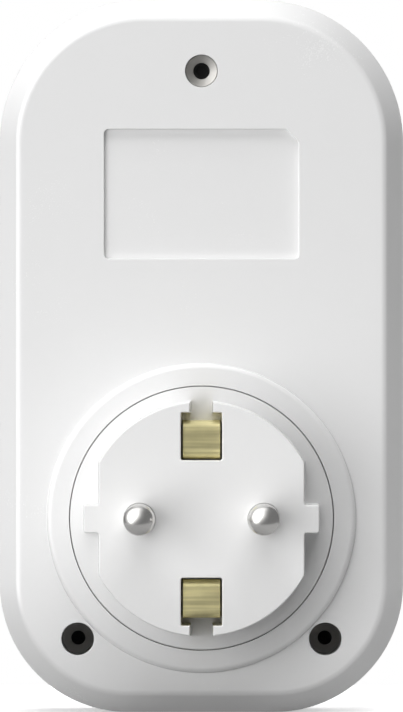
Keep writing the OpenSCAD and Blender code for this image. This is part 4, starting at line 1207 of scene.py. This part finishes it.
class PLUGMETER_OT_studio(bpy.types.Operator):
    """Set up the camera, four softboxes, a dim surround and a pale round floor"""
    bl_idname = "plugmeter.studio"
    bl_label = "Studio"

    def execute(self, context):
        scene = context.scene
        studio = scene.plugmeter_studio
        low, high = CAD_BOX
        # The case's height fills the picture at about the depth where its bevel meets its sides
        outline_depth = REAR_BOX[0].y + 0.0037
        middle = Vector(((low.x + high.x) / 2, outline_depth, (low.z + high.z) / 2))
        camera = bpy.data.cameras.new("Camera")
        camera.lens = studio.lens
        camera.sensor_width = 36
        camera.clip_end = 20
        distance = studio.lens / camera.sensor_width * (high.z - low.z)
        rig = bpy.data.objects.new("Camera", camera)
        rig.location = middle - Vector((0, distance, 0))
        rig.rotation_euler = (math.pi / 2, 0, 0)
        scene.collection.objects.link(rig)
        scene.camera = rig
        scene.view_settings.view_transform = "Standard"
        for name, way, size, brightness in (
            ("Front softbox", (-0.37, -0.93, 0), (1.0, 1.0), studio.front_light),
            ("Left softbox", (-0.7, -0.7, -0.06), (1.2, 1.2), studio.left_light),
            ("Top softbox", (0, -0.31, 0.95), (1.3, 1.0), studio.top_light),
            ("Rear softbox", (0.45, 0.9, 0.25), (0.9, 0.9), studio.rear_light),
        ):
            self.softbox(scene, middle, name, way, size, brightness)
        self.surround(scene, studio)
        self.floor(scene, studio, low)
        return {"FINISHED"}

    def softbox(self, scene, middle, name, way, size, brightness):
        """A flat lamp that gives the case, where it faces the lamp, the stated brightness: its power is
        the brightness times pi squared times the distance squared over the case's paleness. Reflections
        don't see it: the surround's bright patches stand in for it."""
        distance, paleness = 1.3, 0.84
        lamp = bpy.data.lights.new(name, "AREA")
        lamp.shape = "RECTANGLE"
        lamp.size, lamp.size_y = size
        lamp.energy = brightness * math.pi ** 2 * distance ** 2 / paleness
        stand = bpy.data.objects.new(name, lamp)
        way = Vector(way).normalized()
        stand.location = middle + way * distance
        stand.rotation_euler = (-way).to_track_quat("-Z", "Y").to_euler()
        stand.visible_glossy = False
        scene.collection.objects.link(stand)

    def surround(self, scene, studio):
        """White where the camera sees it and a dim grey for soft light. Reflections see a grey with a
        broad bright patch at the upper left and small ones at the left and overhead: each patch's
        brightness is a power of half of one plus the cosine of the angle from its middle."""
        world = bpy.data.worlds.new("Studio")
        scene.world = world
        world.use_nodes = True
        tree = world.node_tree
        tree.nodes.clear()
        path = put(tree, "ShaderNodeLightPath")
        way = put(tree, "ShaderNodeTexCoord").outputs["Generated"]
        seen = studio.surround
        for centre, sharpness, brightness in (
            ((-0.67, -0.45, 0.59), 10, studio.gleam),
            ((-0.86, -0.5, 0.05), 50, studio.gleam_left),
            ((0, 0, 1), 40, studio.gleam_top),
        ):
            near = put(tree, "ShaderNodeVectorMath", {0: way, 1: centre}, operation="DOT_PRODUCT")
            half = calculate(tree, "MULTIPLY_ADD", near.outputs["Value"], 0.5, 0.5, clamp=True)
            patch = calculate(tree, "POWER", half, sharpness)
            seen = calculate(tree, "MULTIPLY_ADD", patch, brightness, seen)
        grey = calculate(tree, "MULTIPLY", path.outputs["Is Glossy Ray"], seen)
        lit = calculate(tree, "MAXIMUM", grey, studio.fill)
        level = calculate(tree, "MAXIMUM", path.outputs["Is Camera Ray"], lit)
        sky = put(tree, "ShaderNodeBackground", {"Strength": level, "Color": (1, 1, 1, 1)})
        out = put(tree, "ShaderNodeOutputWorld")
        tree.links.new(sky.outputs[0], out.inputs["Surface"])

    def floor(self, scene, studio, low):
        """A pale round floor just under the case. It glows a little where the camera sees it, so that
        it fades into the surround, and it is darker for other rays, so it throws little light up."""
        behind, gap, unseen_shade, added_shade = 0.08, 0.00005, 0.38, 0.54
        angle = np.linspace(0, 2 * np.pi, 97)[:-1]
        rim = np.stack([np.cos(angle), np.sin(angle), np.zeros_like(angle)], axis=1) * studio.floor_radius
        rim += (0, REAR_BOX[0].y + behind, low.z - gap)
        mesh = bpy.data.meshes.new("floor")
        mesh.from_pydata(rim.tolist(), [], [list(range(len(rim)))])
        plate = bpy.data.objects.new("floor", mesh)
        material, tree, shader = principled("Pale floor", Roughness=0.7)
        seen = put(tree, "ShaderNodeLightPath").outputs["Is Camera Ray"]
        place = object_place(tree)
        cloud = put(tree, "ShaderNodeTexNoise", {"Vector": place, "Scale": 40.0}).outputs["Fac"]
        pale = calculate(tree, "MULTIPLY_ADD", cloud, 0.02, added_shade)
        shade = calculate(tree, "MULTIPLY_ADD", seen, pale, unseen_shade)
        glow = calculate(tree, "MULTIPLY", seen, studio.floor_glow)
        tree.links.new(shade, shader.inputs["Base Color"])
        tree.links.new(glow, shader.inputs["Emission Strength"])
        shader.inputs["Emission Color"].default_value = (1, 1, 1, 1)
        plate.data.materials.append(material)
        scene.collection.objects.link(plate)


class PLUGMETER_PT_sidebar(bpy.types.Panel):
    """Lists the steps that build the power meter and the sizes they use"""
    bl_label = "Plug-in power meter"
    bl_idname = "PLUGMETER_PT_sidebar"
    bl_space_type = "VIEW_3D"
    bl_region_type = "UI"
    bl_category = "Power meter"

    def draw(self, context):
        for step in STEPS:
            self.layout.operator(step.bl_idname)
        for name, group in GROUPS.items():
            box = self.layout.box()
            box.label(text=group.bl_rna.description)
            for label in group.__annotations__:
                box.prop(getattr(context.scene, name), label)


STEPS = (
    PLUGMETER_OT_finishes, PLUGMETER_OT_rear_shell, PLUGMETER_OT_plug, PLUGMETER_OT_pins,
    PLUGMETER_OT_straps, PLUGMETER_OT_case_screws, PLUGMETER_OT_front_shell, PLUGMETER_OT_socket,
    PLUGMETER_OT_window, PLUGMETER_OT_buttons, PLUGMETER_OT_studio,
)
GROUPS = {
    "plugmeter_case": PLUGMETER_PG_case, "plugmeter_plug": PLUGMETER_PG_plug,
    "plugmeter_front": PLUGMETER_PG_front, "plugmeter_finish": PLUGMETER_PG_finish,
    "plugmeter_studio": PLUGMETER_PG_studio,
}


def register():
    for made in (*GROUPS.values(), *STEPS, PLUGMETER_PT_sidebar):
        bpy.utils.register_class(made)
    for name, group in GROUPS.items():
        setattr(bpy.types.Scene, name, PointerProperty(type=group))


def unregister():
    for name in GROUPS:
        delattr(bpy.types.Scene, name)
    for made in (PLUGMETER_PT_sidebar, *reversed(STEPS), *reversed(GROUPS.values())):
        bpy.utils.unregister_class(made)


def main():
    """Builds every piece in order."""
    register()
    for step in STEPS:
        group, name = step.bl_idname.split(".")
        getattr(getattr(bpy.ops, group), name)()


if __name__ == "__main__":
    main()
